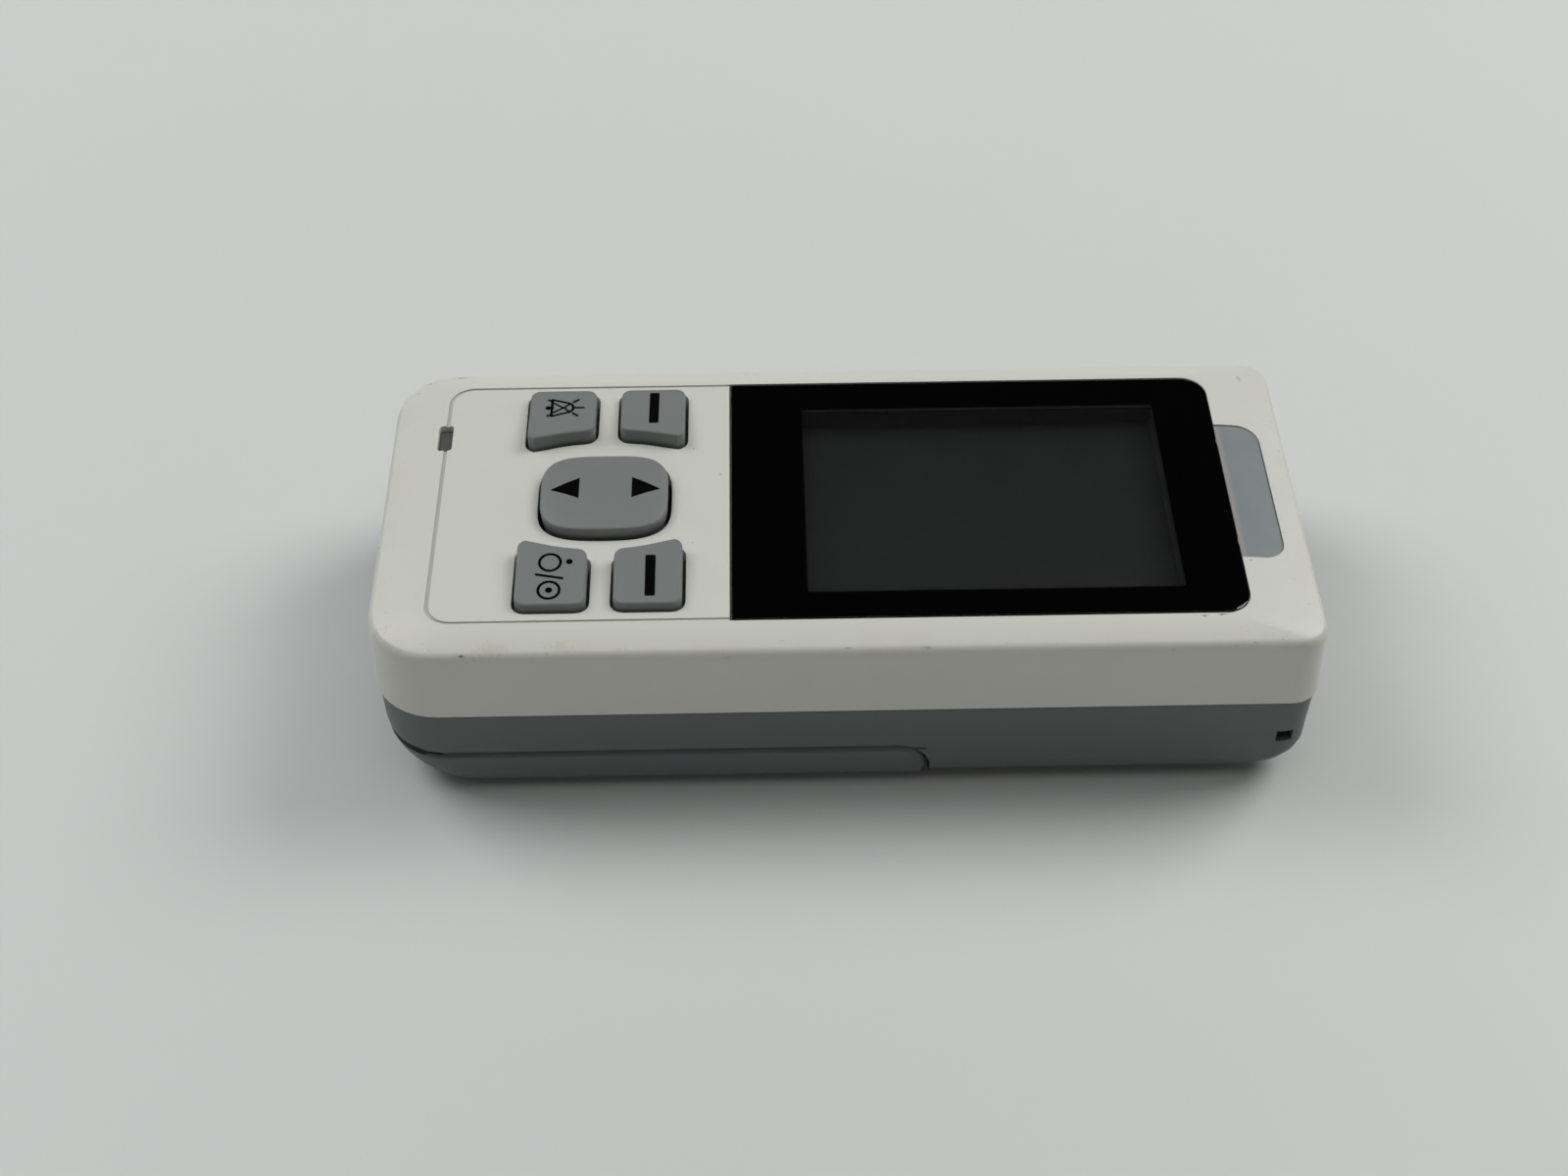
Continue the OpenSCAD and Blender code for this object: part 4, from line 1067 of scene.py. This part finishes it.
def slab(mesh: BMesh, size: Triple, corner: float,
         steps: int) -> list[BMVert]:
    """Adds a flat rectangular slab with round corners, centred on the origin.

    Args:
        mesh: bmesh that it goes into.
        size: length, width and thickness in millimetres.
        corner: corner radius in millimetres.
        steps: steps round a corner.

    Returns:
        The slab's vertices.
    """
    before = set(mesh.verts)
    made = bmesh.ops.create_grid(mesh, x_segments=1, y_segments=1, size=0.5)
    bmesh.ops.scale(mesh, vec=(size[0] * MM, size[1] * MM, 1.0), verts=made["verts"])
    if corner > 0.0:
        bmesh.ops.bevel(mesh, geom=made["verts"], offset=corner * MM, offset_type="OFFSET",
                        affect="VERTICES", segments=steps, profile=0.5, material=-1)
    raised = bmesh.ops.extrude_face_region(mesh, geom=faces_of(fresh_verts(mesh, before)))
    top = [item for item in raised["geom"] if isinstance(item, BMVert)]
    bmesh.ops.translate(mesh, vec=(0.0, 0.0, size[2] * MM), verts=top)
    fresh = fresh_verts(mesh, before)
    bmesh.ops.translate(mesh, vec=(0.0, 0.0, -size[2] * MM / 2), verts=fresh)
    bmesh.ops.recalc_face_normals(mesh, faces=faces_of(fresh))
    return fresh


def turned(angle: float, axis: str) -> Matrix:
    """Returns a rotation by an angle in degrees."""
    return Matrix.Rotation(math.radians(angle), 3, axis)


def move(mesh: BMesh, verts: list[BMVert], x: float, y: float,
         z: float, turn: float = 0.0) -> None:
    """Turns vertices about Z by an angle in degrees and moves them by millimetres."""
    bmesh.ops.rotate(mesh, cent=ORIGIN, matrix=turned(turn, "Z"), verts=verts)
    bmesh.ops.translate(mesh, vec=(x * MM, y * MM, z * MM), verts=verts)


# ---------------------------------------------------------------- printed signs

@dataclass
class Sign:
    """Black print on a key, drawn flat and then laid on the key's top."""

    name: str
    host: Object
    body: str
    thickness: float = 0.024
    lift: float = 0.012
    end_round: float = 0.42
    bar_corner: float = 0.2
    corner_steps: int = 3
    disc_steps: int = 28
    ring_steps: int = 48
    arc_steps: int = 20
    long_edge: float = 0.6
    ray_from: float = 0.1
    mesh: BMesh = field(default_factory=bmesh.new)

    def stroke(self, start: Pair, end: Pair, width: float) -> None:
        """Draws a line with round ends, in millimetres.

        Args:
            start: one end.
            end: the other end.
            width: width of the line.
        """
        run = Vector(end) - Vector(start)
        verts = slab(self.mesh, (run.length + width, width, self.thickness),
                     width * self.end_round, self.corner_steps)
        middle = (Vector(start) + Vector(end)) / 2
        move(self.mesh, verts, middle.x, middle.y, 0.0, math.degrees(math.atan2(run.y, run.x)))

    def bar(self, centre: Pair, length: float, width: float) -> None:
        """Draws an upright bar with eased corners, in millimetres."""
        verts = slab(self.mesh, (width, length, self.thickness), self.bar_corner,
                     self.corner_steps)
        move(self.mesh, verts, centre[0], centre[1], 0.0)

    def _prism(self, sides: int, radius: float) -> list[BMVert]:
        """Adds an upright prism, radius in millimetres, and returns its vertices."""
        return bmesh.ops.create_cone(self.mesh, cap_ends=True, segments=sides, radius1=radius * MM,
                                     radius2=radius * MM, depth=self.thickness * MM)["verts"]

    def disc(self, centre: Pair, radius: float) -> None:
        """Draws a filled spot, in millimetres."""
        move(self.mesh, self._prism(self.disc_steps, radius), centre[0], centre[1], 0.0)

    def ring(self, centre: Pair, radius: float, width: float,
             start: float = 0.0, sweep: float = 360.0) -> None:
        """Draws a ring or an arc by spinning a small section, in millimetres and degrees.

        Args:
            centre: middle of the ring.
            radius: radius to the middle of the line.
            width: width of the line.
            start: angle at which it begins.
            sweep: angle that it covers.
        """
        before = set(self.mesh.verts)
        made = bmesh.ops.create_grid(self.mesh, x_segments=1, y_segments=1, size=0.5)
        bmesh.ops.scale(self.mesh, vec=(width * MM, self.thickness * MM, 1.0), verts=made["verts"])
        bmesh.ops.rotate(self.mesh, cent=ORIGIN, verts=made["verts"], matrix=turned(90.0, "X"))
        bmesh.ops.translate(self.mesh, vec=(radius * MM, 0.0, 0.0), verts=made["verts"])
        faces = faces_of(made["verts"])
        whole = sweep >= 360.0
        bmesh.ops.spin(self.mesh, geom=faces, cent=ORIGIN, axis=(0.0, 0.0, 1.0),
                       angle=math.radians(sweep), use_merge=whole,
                       steps=self.ring_steps if whole else self.arc_steps)
        if whole:
            bmesh.ops.delete(self.mesh, geom=faces, context="FACES_ONLY")
        bmesh.ops.remove_doubles(self.mesh, verts=fresh_verts(self.mesh, before),
                                 dist=MERGE_GAP / 4)
        verts = fresh_verts(self.mesh, before)
        bmesh.ops.recalc_face_normals(self.mesh, faces=faces_of(verts))
        move(self.mesh, verts, centre[0], centre[1], 0.0, start)

    def wedge(self, tip: Pair, reach: float, height: float) -> None:
        """Draws a triangle whose tip points along X, in millimetres.

        Args:
            tip: place of the tip.
            reach: signed distance from the base to the tip.
            height: length of the base.
        """
        verts = self._prism(3, 1.0)
        bmesh.ops.rotate(self.mesh, cent=ORIGIN, verts=verts, matrix=turned(-90.0, "Z"))
        tall = max(vert.co.x for vert in verts) - min(vert.co.x for vert in verts)
        wide = max(vert.co.y for vert in verts) - min(vert.co.y for vert in verts)
        bmesh.ops.scale(self.mesh, vec=(reach * MM / tall, height * MM / wide, 1.0), verts=verts)
        ahead = max if reach > 0 else min
        bmesh.ops.translate(self.mesh, verts=verts, vec=(
            tip[0] * MM - ahead(vert.co.x for vert in verts), tip[1] * MM, 0.0))

    def lay(self, material: Material) -> Object:
        """Drops the print onto the key's top and makes it a piece.

        Args:
            material: its finish.

        Returns:
            The piece.
        """
        bmesh.ops.triangulate(self.mesh, faces=self.mesh.faces)
        long_edges = [line for line in self.mesh.edges
                      if line.calc_length() > self.long_edge * MM]
        bmesh.ops.subdivide_edges(self.mesh, edges=long_edges, cuts=3, use_grid_fill=True)
        bmesh.ops.triangulate(self.mesh, faces=self.mesh.faces)
        ground = bmesh.new()
        ground.from_mesh(self.host.data)
        tree = BVHTree.FromBMesh(ground)
        ground.free()
        for vert in self.mesh.verts:
            above = Vector((vert.co.x, vert.co.y, self.ray_from))
            spot, _, _, _ = tree.ray_cast(above, Vector((0.0, 0.0, -1.0)))
            vert.co.z += spot.z + self.lift * MM
        bmesh.ops.recalc_face_normals(self.mesh, faces=self.mesh.faces)
        return finish_piece(self.mesh, self.name, material, self.body)


# ---------------------------------------------------------------- sub-assemblies

@dataclass
class Housing:
    """White front shell, grey rear shell and the battery door."""

    white: MouldedPlastic = HousingWhite(
        name="housing_white", colour=(0.592, 0.596, 0.549), roughness=0.42,
        stain=(0.46, 0.42, 0.28), stain_amount=0.28, rubbed=0.5, dirt_and_shade=(0.07, 0.066, 0.057),
        blemishes=(Blemish(-48.8, -26.8, 27.0, 0.6, 0.7, 1.0),
                   Blemish(-31.8, 16.8, 28.5, 0.25, 0.3), Blemish(-16.1, 4.3, 28.5, 0.3, 0.3),
                   Blemish(-19.8, 9.5, 28.5, 0.2, 0.2), Blemish(-19.8, -8.6, 28.5, 0.2, 0.2),
                   Blemish(47.9, -22.9, 28.4, 0.4, 1.3), Blemish(45.6, -23.1, 28.4, 0.3, 0.9),
                   Blemish(48.9, -22.7, 28.4, 0.35, 0.7), Blemish(58.0, -20.2, 28.0, 0.3, 0.3, 0.6),
                   Blemish(53.0, -13.4, 28.4, 0.3, 0.5, 0.7),
                   Blemish(57.2, 22.9, 28.0, 1.0, 0.9, 0.35),
                   Blemish(16.9, -27.3, 26.6, 0.3, 0.9), Blemish(26.2, -27.3, 26.6, 0.3, 0.6),
                   Blemish(-52.8, 26.0, 27.6, 0.4, 2.6, 0.7),
                   Blemish(-57.6, 24.9, 27.4, 0.35, 1.5, 0.6)),
        yellowed=(Blemish(-45.2, -26.2, 27.4, 2.4, 5.0, 0.35),
                  Blemish(-36.3, -25.7, 27.4, 1.8, 4.0, 0.32),
                  Blemish(-58.6, -22.6, 26.8, 2.2, 3.6, 0.45)))
    grey: MouldedPlastic = HousingGrey(
        name="housing_grey", colour=(0.098, 0.118, 0.119), roughness=0.47,
        # This near-black colour is the shade painted into the grey shell's gaps.
        rubbed=0.12, grain_depth=0.007, drift=0.06, dirt_and_shade=(0.010, 0.012, 0.012))

    def build(self) -> None:
        """Makes the three mouldings."""
        white = self.white.material()
        grey = self.grey.material()
        softened("front_shell", "front_moulding", white, Edge.SOFT)
        softened("rear_shell", "rear_moulding", grey, Edge.SOFT)
        softened("battery_door", "door_moulding", grey, Edge.ROUND)


HALF_BELL = (                    # strokes from the bell's mouth: start, end, width in lines
    ((0.0, 0.0), (0.0, 1.9), 1.0), ((0.0, 1.9), (2.45, 0.98), 1.0),
    ((-0.5, 1.8), (-0.04, 1.52), 1.0), ((0.3, 1.04), (0.95, 0.49), 0.8),
    ((1.16, 0.33), (1.93, -0.27), 0.8), ((1.97, 0.4), (2.41, 0.84), 0.8),
    ((2.95, 1.28), (3.62, 1.84), 1.0))


@dataclass
class Keypad:
    """Four keys, the rocker, their print, the mat and the snap domes."""

    plastic: MouldedPlastic = MouldedPlastic(
        name="key_plastic", colour=(0.162, 0.178, 0.174), roughness=0.5, grain_size=0.2,
        grain_depth=0.006, drift=0.03, rubbed=0.05)
    print_ink: Ink = Ink("sign_ink")
    # Near-black mat: its colour also stands in for the shade in the gaps round the keys.
    mat: MouldedPlastic = MouldedPlastic(
        name="silicone_mat", colour=(0.022, 0.023, 0.024), roughness=0.65, grain_size=0.6)
    line: float = 0.36
    bar_width: float = 1.33
    bell_mouth: Pair = (-1.5, 1.3)
    bell_top: Pair = (3.2, 4.35)
    bell_arc: Triple = (1.75, 1.2, 110.0)
    clapper: Pair = (-0.52, 0.4)
    clapper_neck: Pair = (-0.4, 0.6)
    ring_r: float = 1.37
    ring_places: tuple[Pair, ...] = ((-0.14, 1.44), (-0.12, -3.10))
    slash: tuple[Pair, ...] = ((-1.68, -1.96), (1.65, -2.62))
    side_dot: Triple = (2.5, 0.1, 0.43)
    inner_dot: float = 0.45
    far_bar: Triple = (0.17, 0.94, 6.9)
    near_bar: Triple = (0.34, -0.85, 6.7)
    arrow_base: float = 3.9
    arrow_y: float = 0.14
    arrows: tuple[Pair, ...] = ((-7.22, -3.9), (7.5, 3.8))
    crease: float = 26.0

    def build(self) -> None:
        """Makes the keys and their signs."""
        plastic = self.plastic.material()
        ink = self.print_ink.material()
        caps = {}
        for node in ("mute_key", "power_key", "far_soft_key", "near_soft_key", "rocker_key"):
            caps[node] = softened(node, node.replace("_key", "_cap"), plastic,
                                  Edge.NONE, self.crease)
        self._mute_sign(caps["mute_key"], ink)
        self._power_sign(caps["power_key"], ink)
        self._bar_sign("far_soft", caps["far_soft_key"], self.far_bar, ink)
        self._bar_sign("near_soft", caps["near_soft_key"], self.near_bar, ink)
        self._rocker_sign(caps["rocker_key"], ink)
        dress(["keypad_mat"], self.mat.material())
        dress(["snap_domes"], PlatedMetal("dome_steel", (0.62, 0.62, 0.60), 0.25).material())

    @staticmethod
    def _middle(node: str) -> Vector:
        """Returns the middle of a key in millimetres."""
        low, high = box_mm(node)
        return (low + high) / 2

    def _bar_sign(self, name: str, cap: Object, bar: Triple, ink: Material) -> None:
        """Draws a soft key's bar.

        Args:
            name: start of the piece's name.
            cap: key that it lies on.
            bar: its place from the key's middle and its length, in millimetres.
            ink: its finish.
        """
        middle = self._middle(f"{name}_key")
        sign = Sign(f"{name}_bar", cap, f"{name}_button")
        sign.bar((middle.x + bar[0], middle.y + bar[1]), bar[2], self.bar_width)
        sign.lay(ink)

    def _mute_sign(self, cap: Object, ink: Material) -> None:
        """Draws the crossed bell, whose mouth points to the key end.

        Args:
            cap: key that it lies on.
            ink: its finish.
        """
        sign = Sign("mute_sign", cap, "mute_button")
        mouth = self._middle("mute_key") + Vector((*self.bell_mouth, 0.0))
        for side in (-1.0, 1.0):
            for start, end, width in HALF_BELL:
                sign.stroke((mouth.x + start[0], mouth.y + side * start[1]),
                            (mouth.x + end[0], mouth.y + side * end[1]), self.line * width)
        low, high = self.bell_top
        sign.stroke((mouth.x + low, mouth.y), (mouth.x + high, mouth.y), self.line)
        ahead, radius, sweep = self.bell_arc
        sign.ring((mouth.x + ahead, mouth.y), radius, self.line, -sweep / 2, sweep)
        behind, width = self.clapper_neck
        sign.stroke((mouth.x + behind, mouth.y), (mouth.x, mouth.y), width)
        behind, radius = self.clapper
        sign.disc((mouth.x + behind, mouth.y), radius)
        sign.lay(ink)

    def _power_sign(self, cap: Object, ink: Material) -> None:
        """Draws the ring with a dot beside it, the stroke, and the ring round a dot.

        Args:
            cap: key that it lies on.
            ink: its finish.
        """
        sign = Sign("power_sign", cap, "power_button")
        middle = self._middle("power_key")
        on, off = ((middle.x + x, middle.y + y) for x, y in self.ring_places)
        sign.ring(on, self.ring_r, self.line)
        aside, above, radius = self.side_dot
        sign.disc((on[0] + aside, on[1] + above), radius)
        start, end = ((on[0] + x, on[1] + y) for x, y in self.slash)
        sign.stroke(start, end, self.line)
        sign.ring(off, self.ring_r, self.line)
        sign.disc(off, self.inner_dot)
        sign.lay(ink)

    def _rocker_sign(self, cap: Object, ink: Material) -> None:
        """Draws the two arrowheads.

        Args:
            cap: key that it lies on.
            ink: its finish.
        """
        sign = Sign("rocker_arrows", cap, "rocker")
        middle = self._middle("rocker_key")
        for tip, reach in self.arrows:
            sign.wedge((middle.x + tip, middle.y + self.arrow_y), reach, self.arrow_base)
        sign.lay(ink)


@dataclass
class DisplayStack:
    """Window, its black back print, tape, foam, display and ribbon."""

    print_thickness: float = 0.45
    view: Outline = DISPLAY_VIEW
    view_corner: float = 0.25
    view_steps: int = 4
    cutter_height: float = 4.0
    brim_round: float = 0.07
    brim_angle: float = 60.0

    def build(self) -> None:
        """Makes the window pieces and dresses what lies under them."""
        self._window()
        dress(["window_tape"], Ink("tape_black", (0.010, 0.010, 0.011), 0.6, 0.1).material())
        dress(["display_foam"], Foam("foam").material())
        dress(["display_glass"], DisplaySurface("display_surface").material())
        dress(["display_frame"], MouldedPlastic(
            "frame_black", (0.02, 0.02, 0.021), 0.5, grain_depth=0.005).material())
        dress(["display_ribbon"], StripedFilm(
            "ribbon_film", (0.42, 0.20, 0.04), (0.25, 0.10, 0.02), 0.6, (0.0, 1.0, 0.0),
            relief=0.01).material())
        dress(["ribbon_connector"], MouldedPlastic(
            "connector_cream", (0.62, 0.56, 0.42), 0.45).material())

    def _window(self) -> None:
        """Splits the window into a clear sheet and the black print under it."""
        low, high = box_mm("display_window")
        middle = low.z + self.print_thickness
        sheet = self._cut_at(middle, keep_upper=True)
        glass = ClearSheet("clear_sheet", (middle, high.z)).material()
        clear = finish_piece(sheet, "window_sheet", glass, "unit")
        even_normals(clear)
        layer = self._cut_at(middle, keep_upper=False)
        ink = WindowPrint("window_ink", (0.0012, 0.0014, 0.0018), 0.5, 0.1, self.view)
        mask = finish_piece(layer, "window_print", ink.material(), "unit")
        self._open_view(mask, low.z)
        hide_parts("display_window")
        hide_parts("display_window")

    def _open_view(self, mask: Object, height: float) -> None:
        """Cuts the opening for the view out of the black print.

        Args:
            mask: the print.
            height: height of its underside in millimetres.
        """
        view = self.view
        cutter = bmesh.new()
        verts = slab(cutter, (view.x1 - view.x0, view.y1 - view.y0, self.cutter_height),
                     self.view_corner, self.view_steps)
        move(cutter, verts, (view.x0 + view.x1) / 2, (view.y0 + view.y1) / 2, height)
        tool = meshed(cutter, "opening_tool")
        cut = mask.modifiers.new("opening", "BOOLEAN")
        cut.object = tool
        cut.solver = "EXACT"
        bpy.context.view_layer.update()
        evaluated = mask.evaluated_get(bpy.context.evaluated_depsgraph_get())
        opened = bpy.data.meshes.new_from_object(evaluated)
        mask.modifiers.remove(cut)
        mask.data = opened
        bpy.data.objects.remove(tool)

    def _cut_at(self, height: float, keep_upper: bool) -> BMesh:
        """Cuts the window's solid in two and caps the cut.

        Args:
            height: height of the cut in millimetres.
            keep_upper: whether the upper part is kept.

        Returns:
            The part that is kept.
        """
        mesh = bmesh.new()
        mesh.from_mesh(frame["nodes"]["display_window"].data)
        bmesh.ops.remove_doubles(mesh, verts=mesh.verts, dist=MERGE_GAP)
        everything = mesh.verts[:] + mesh.edges[:] + mesh.faces[:]
        cut = bmesh.ops.bisect_plane(
            mesh, geom=everything, plane_co=(0.0, 0.0, height * MM), plane_no=(0.0, 0.0, 1.0),
            clear_inner=keep_upper, clear_outer=not keep_upper)
        rim = [item for item in cut["geom_cut"] if isinstance(item, BMEdge)]
        bmesh.ops.contextual_create(mesh, geom=rim)
        bmesh.ops.recalc_face_normals(mesh, faces=mesh.faces)
        if keep_upper:
            top = max(vert.co.z for vert in mesh.verts)
            brim = [line for line in mesh.edges
                    if all(vert.co.z > top - 0.01 * MM for vert in line.verts)
                    and line.calc_face_angle(0.0) > math.radians(self.brim_angle)]
            bmesh.ops.bevel(mesh, geom=brim, offset=self.brim_round * MM, offset_type="OFFSET",
                            affect="EDGES", segments=2, profile=0.5, material=-1)
        crease_edges(mesh, math.radians(CREASE))
        return mesh


@dataclass
class Lamps:
    """Alarm lens, status light guide and the lamps under them."""

    frosted: Colour = (0.215, 0.248, 0.258)
    lens_corner: float = 3.0
    smoke: FrostedLens = FrostedLens("lens_smoke", (0.095, 0.100, 0.092), 0.1, 0.4)

    def build(self) -> None:
        """Makes the lenses and dresses the lamps."""
        low, high = box_mm("alarm_lens")
        _, window_high = box_mm("display_window")
        outline = Outline(low.x, high.x, low.y, high.y, self.lens_corner)
        lens = AlarmLens("lens_frosted", self.frosted, outline=outline, window_x=window_high.x)
        softened("alarm_lens", "alarm_lens_cap", lens.material(), Edge.CRISP)
        softened("status_light_guide", "status_slot_cap", self.smoke.material(),
                 Edge.CRISP)
        lamp = MouldedPlastic("lamp_body", (0.75, 0.72, 0.58), 0.35, drift=0.08).material()
        dress(["alarm_leds", "status_led"], lamp)


@dataclass
class Electronics:
    """Boards, what they carry, and the screws."""

    def build(self) -> None:
        """Dresses the inner nodes."""
        dress(["main_board"], BoardLacquer("board_lacquer").material())
        dress(["board_chips", "sounder"], MouldedPlastic(
            "chip_black", (0.022, 0.022, 0.024), 0.45, grain_depth=0.01).material())
        dress(["drive_transformer"], MouldedPlastic(
            "ferrite", (0.045, 0.042, 0.042), 0.6, grain_size=0.15, grain_depth=0.02,
            drift=0.15).material())
        dress(["transformer_winding"], StripedFilm(
            "copper_turns", (0.72, 0.30, 0.14), (0.20, 0.06, 0.03), 0.45, (0.0, 0.0, 1.0),
            metallic=0.9, relief=0.08).material())
        dress(["case_screws", "board_screws"], PlatedMetal(
            "screw_zinc", (0.58, 0.58, 0.57), 0.32).material())


@dataclass
class LeadSocket:
    """Round socket that the treatment head's lead would plug into."""

    def build(self) -> None:
        """Makes the socket's barrel and dresses its inside."""
        nickel = PlatedMetal("nickel", (0.42, 0.41, 0.385), 0.25).material()
        softened("lead_socket", "socket_barrel", nickel, Edge.CRISP, 30.0)
        dress(["socket_nut"], nickel)
        dress(["socket_insert"], MouldedPlastic(
            "insert_black", (0.02, 0.02, 0.022), 0.4, grain_depth=0.004).material())
        dress(["socket_contacts"], PlatedMetal("gold_plate", (0.85, 0.60, 0.25), 0.2).material())


@dataclass
class BatteryBay:
    """Three cells with their springs and contact plates."""

    def build(self) -> None:
        """Dresses the cells and contacts."""
        for node in ("near_cell", "middle_cell", "far_cell"):
            low, high = box_mm(node)
            toward = -1 if node == "middle_cell" else 1
            jacket = CellJacket(f"{node}_jacket", (low.x, high.x), band_end=toward)
            dress([node], jacket.material())
        steel = PlatedMetal("spring_steel", (0.60, 0.59, 0.57), 0.26).material()
        dress(["battery_springs", "contact_plates"], steel)


# ---------------------------------------------------------------- studio

@dataclass(frozen=True)
class Softbox:
    """Rectangular lamp that points at the object, with its place and size in metres."""

    name: str
    place: Triple
    size: Pair
    power: float
    tint: Colour = (1.0, 1.0, 1.0)

    def hang(self) -> None:
        """Adds the lamp to the scene."""
        data = bpy.data.lights.new(self.name, "AREA")
        data.shape = "RECTANGLE"
        data.size, data.size_y = self.size
        data.energy = self.power
        data.color = self.tint
        lamp = placed(self.name, data)
        lamp.location = self.place
        aim = Vector(ORIGIN) - Vector(self.place)
        lamp.rotation_euler = aim.to_track_quat("-Z", "Y").to_euler()


@dataclass
class Studio:
    """Pale floor, soft lamps, dim surroundings and the photograph's camera."""

    # Floor colours near and far: the far one is lighter, as painted light from behind.
    floor_near_dim: Colour = (0.588, 0.607, 0.595)
    floor_far_lit: Colour = (0.660, 0.680, 0.667)
    floor_size: float = 6.0
    floor_light_fade: Pair = (-150.0, 250.0)
    floor_clouds: float = 90.0
    backdrop: Colour = (0.570, 0.562, 0.540)
    backdrop_start: Pair = (310.0, 850.0)
    lamps: tuple[Softbox, ...] = (
        Softbox("right_softbox", (0.72, 0.34, 0.82), (0.60, 0.60), 6.6, (1.0, 0.995, 0.98)),
        Softbox("left_softbox", (-0.68, 0.34, 0.84), (0.60, 0.60), 5.15, (0.99, 1.0, 1.0)),
        Softbox("top_fill", (0.0, -0.08, 1.2), (1.3, 1.0), 4.05, (0.99, 1.0, 1.0)))
    horizon: float = 0.57
    sky_tint: Colour = (1.0, 0.985, 0.945)
    zenith: float = 0.025
    sky_band: Pair = (0.10, 0.50)
    aim: Triple = (-7.89, -17.14, 28.5)
    distance: float = 290.53
    pitch: float = 46.346
    yaw: float = 0.751
    roll: float = -0.374

    def build(self) -> None:
        """Makes the floor, the light and the camera."""
        self._floor()
        for lamp in self.lamps:
            lamp.hang()
        self._surroundings()
        self._camera()
        bpy.context.scene.view_settings.view_transform = "Standard"

    def _floor(self) -> None:
        """Adds the floor under the lowest point of the object, with painted light that makes it
        lighter towards the back.
        """
        mesh = bmesh.new()
        bmesh.ops.create_grid(mesh, x_segments=1, y_segments=1, size=self.floor_size / 2)
        floor = meshed(mesh, "floor")
        sheet = Sheet("floor_pale")
        place = sheet.place()
        _, y, _ = sheet.split(place)
        cloud = sheet.noise(place, self.floor_clouds, 2.0)
        # Painted light: the floor turns lighter towards the back.
        far = y.between(*self.floor_light_fade) * 0.8 + cloud * 0.2
        sheet.set(Base_Color=sheet.mix(far, self.floor_near_dim, self.floor_far_lit), Roughness=0.5)
        self._fade_to_backdrop(sheet, place)
        floor.data.materials.append(sheet.material)

    def _fade_to_backdrop(self, sheet: Sheet, place: Value) -> None:
        """Lets the far floor, which the lamps don't reach, show as pale as the surroundings.

        Args:
            sheet: the floor's material sheet.
            place: place in millimetres.
        """
        path = sheet.add("ShaderNodeLightPath", {}, {})
        camera, glossy, through = (Value(sheet, path.outputs[f"Is {kind} Ray"])
                                   for kind in ("Camera", "Glossy", "Transmission"))
        away = sheet.distance(place, ORIGIN).between(*self.backdrop_start)
        plain = sheet.add("ShaderNodeEmission", {}, {"Color": self.backdrop, "Strength": 1.0})
        blend = sheet.add("ShaderNodeMixShader", {}, {
            0: (camera + glossy + through).least(1.0) * away,
            1: sheet.shader.outputs[0], 2: plain.outputs[0]})
        sheet.tree.links.new(blend.outputs[0], sheet.output.inputs["Surface"])

    def _surroundings(self) -> None:
        """Makes a world that is pale at the horizon and dim overhead."""
        world = bpy.data.worlds.new("surroundings")
        bpy.context.scene.world = world
        world.use_nodes = True
        sky = Nodes(world.node_tree)
        coordinates = sky.add("ShaderNodeTexCoord", {}, {})
        _, _, up = sky.split(Value(sky, coordinates.outputs["Generated"]))
        low, high = self.sky_band
        ramp = sky.add("ShaderNodeMapRange", {"interpolation_type": "SMOOTHSTEP"},
                       {"Value": up, "From Min": low, "From Max": high,
                        "To Min": self.horizon, "To Max": self.zenith})
        background = sky.add("ShaderNodeBackground", {},
                             {"Color": self.sky_tint, "Strength": ramp.outputs[0]})
        sky.add("ShaderNodeOutputWorld", {}, {"Surface": background.outputs[0]})

    def _camera(self) -> None:
        """Places the camera where the photograph was taken from."""
        pitch, yaw, roll = (math.radians(angle) for angle in (self.pitch, self.yaw, self.roll))
        ahead = Vector((math.sin(yaw) * math.cos(pitch), math.cos(yaw) * math.cos(pitch),
                        -math.sin(pitch)))
        right = Vector((math.cos(yaw), -math.sin(yaw), 0.0))
        up = right.cross(ahead)
        turned_right = math.cos(roll) * right + math.sin(roll) * up
        turned_up = math.cos(roll) * up - math.sin(roll) * right
        data = bpy.data.cameras.new("photo_camera")
        data.sensor_width = SENSOR_WIDTH
        data.lens = FOCAL_PIXELS * SENSOR_WIDTH / PHOTO_WIDTH
        data.clip_start = 0.01
        camera = placed("photo_camera", data)
        turn = Matrix((turned_right, turned_up, -ahead)).transposed().to_4x4()
        place = (Vector(self.aim) - ahead * self.distance) * MM
        camera.matrix_world = Matrix.Translation(place) @ turn
        bpy.context.scene.camera = camera


def main() -> None:
    """Builds every sub-assembly and the studio."""
    logging.basicConfig(level=logging.INFO, format="%(message)s")
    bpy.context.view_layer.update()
    for part in (Housing(), Keypad(), DisplayStack(), Lamps(), Electronics(), LeadSocket(),
                 BatteryBay(), Studio()):
        part.build()


if __name__ == "__main__":
    main()
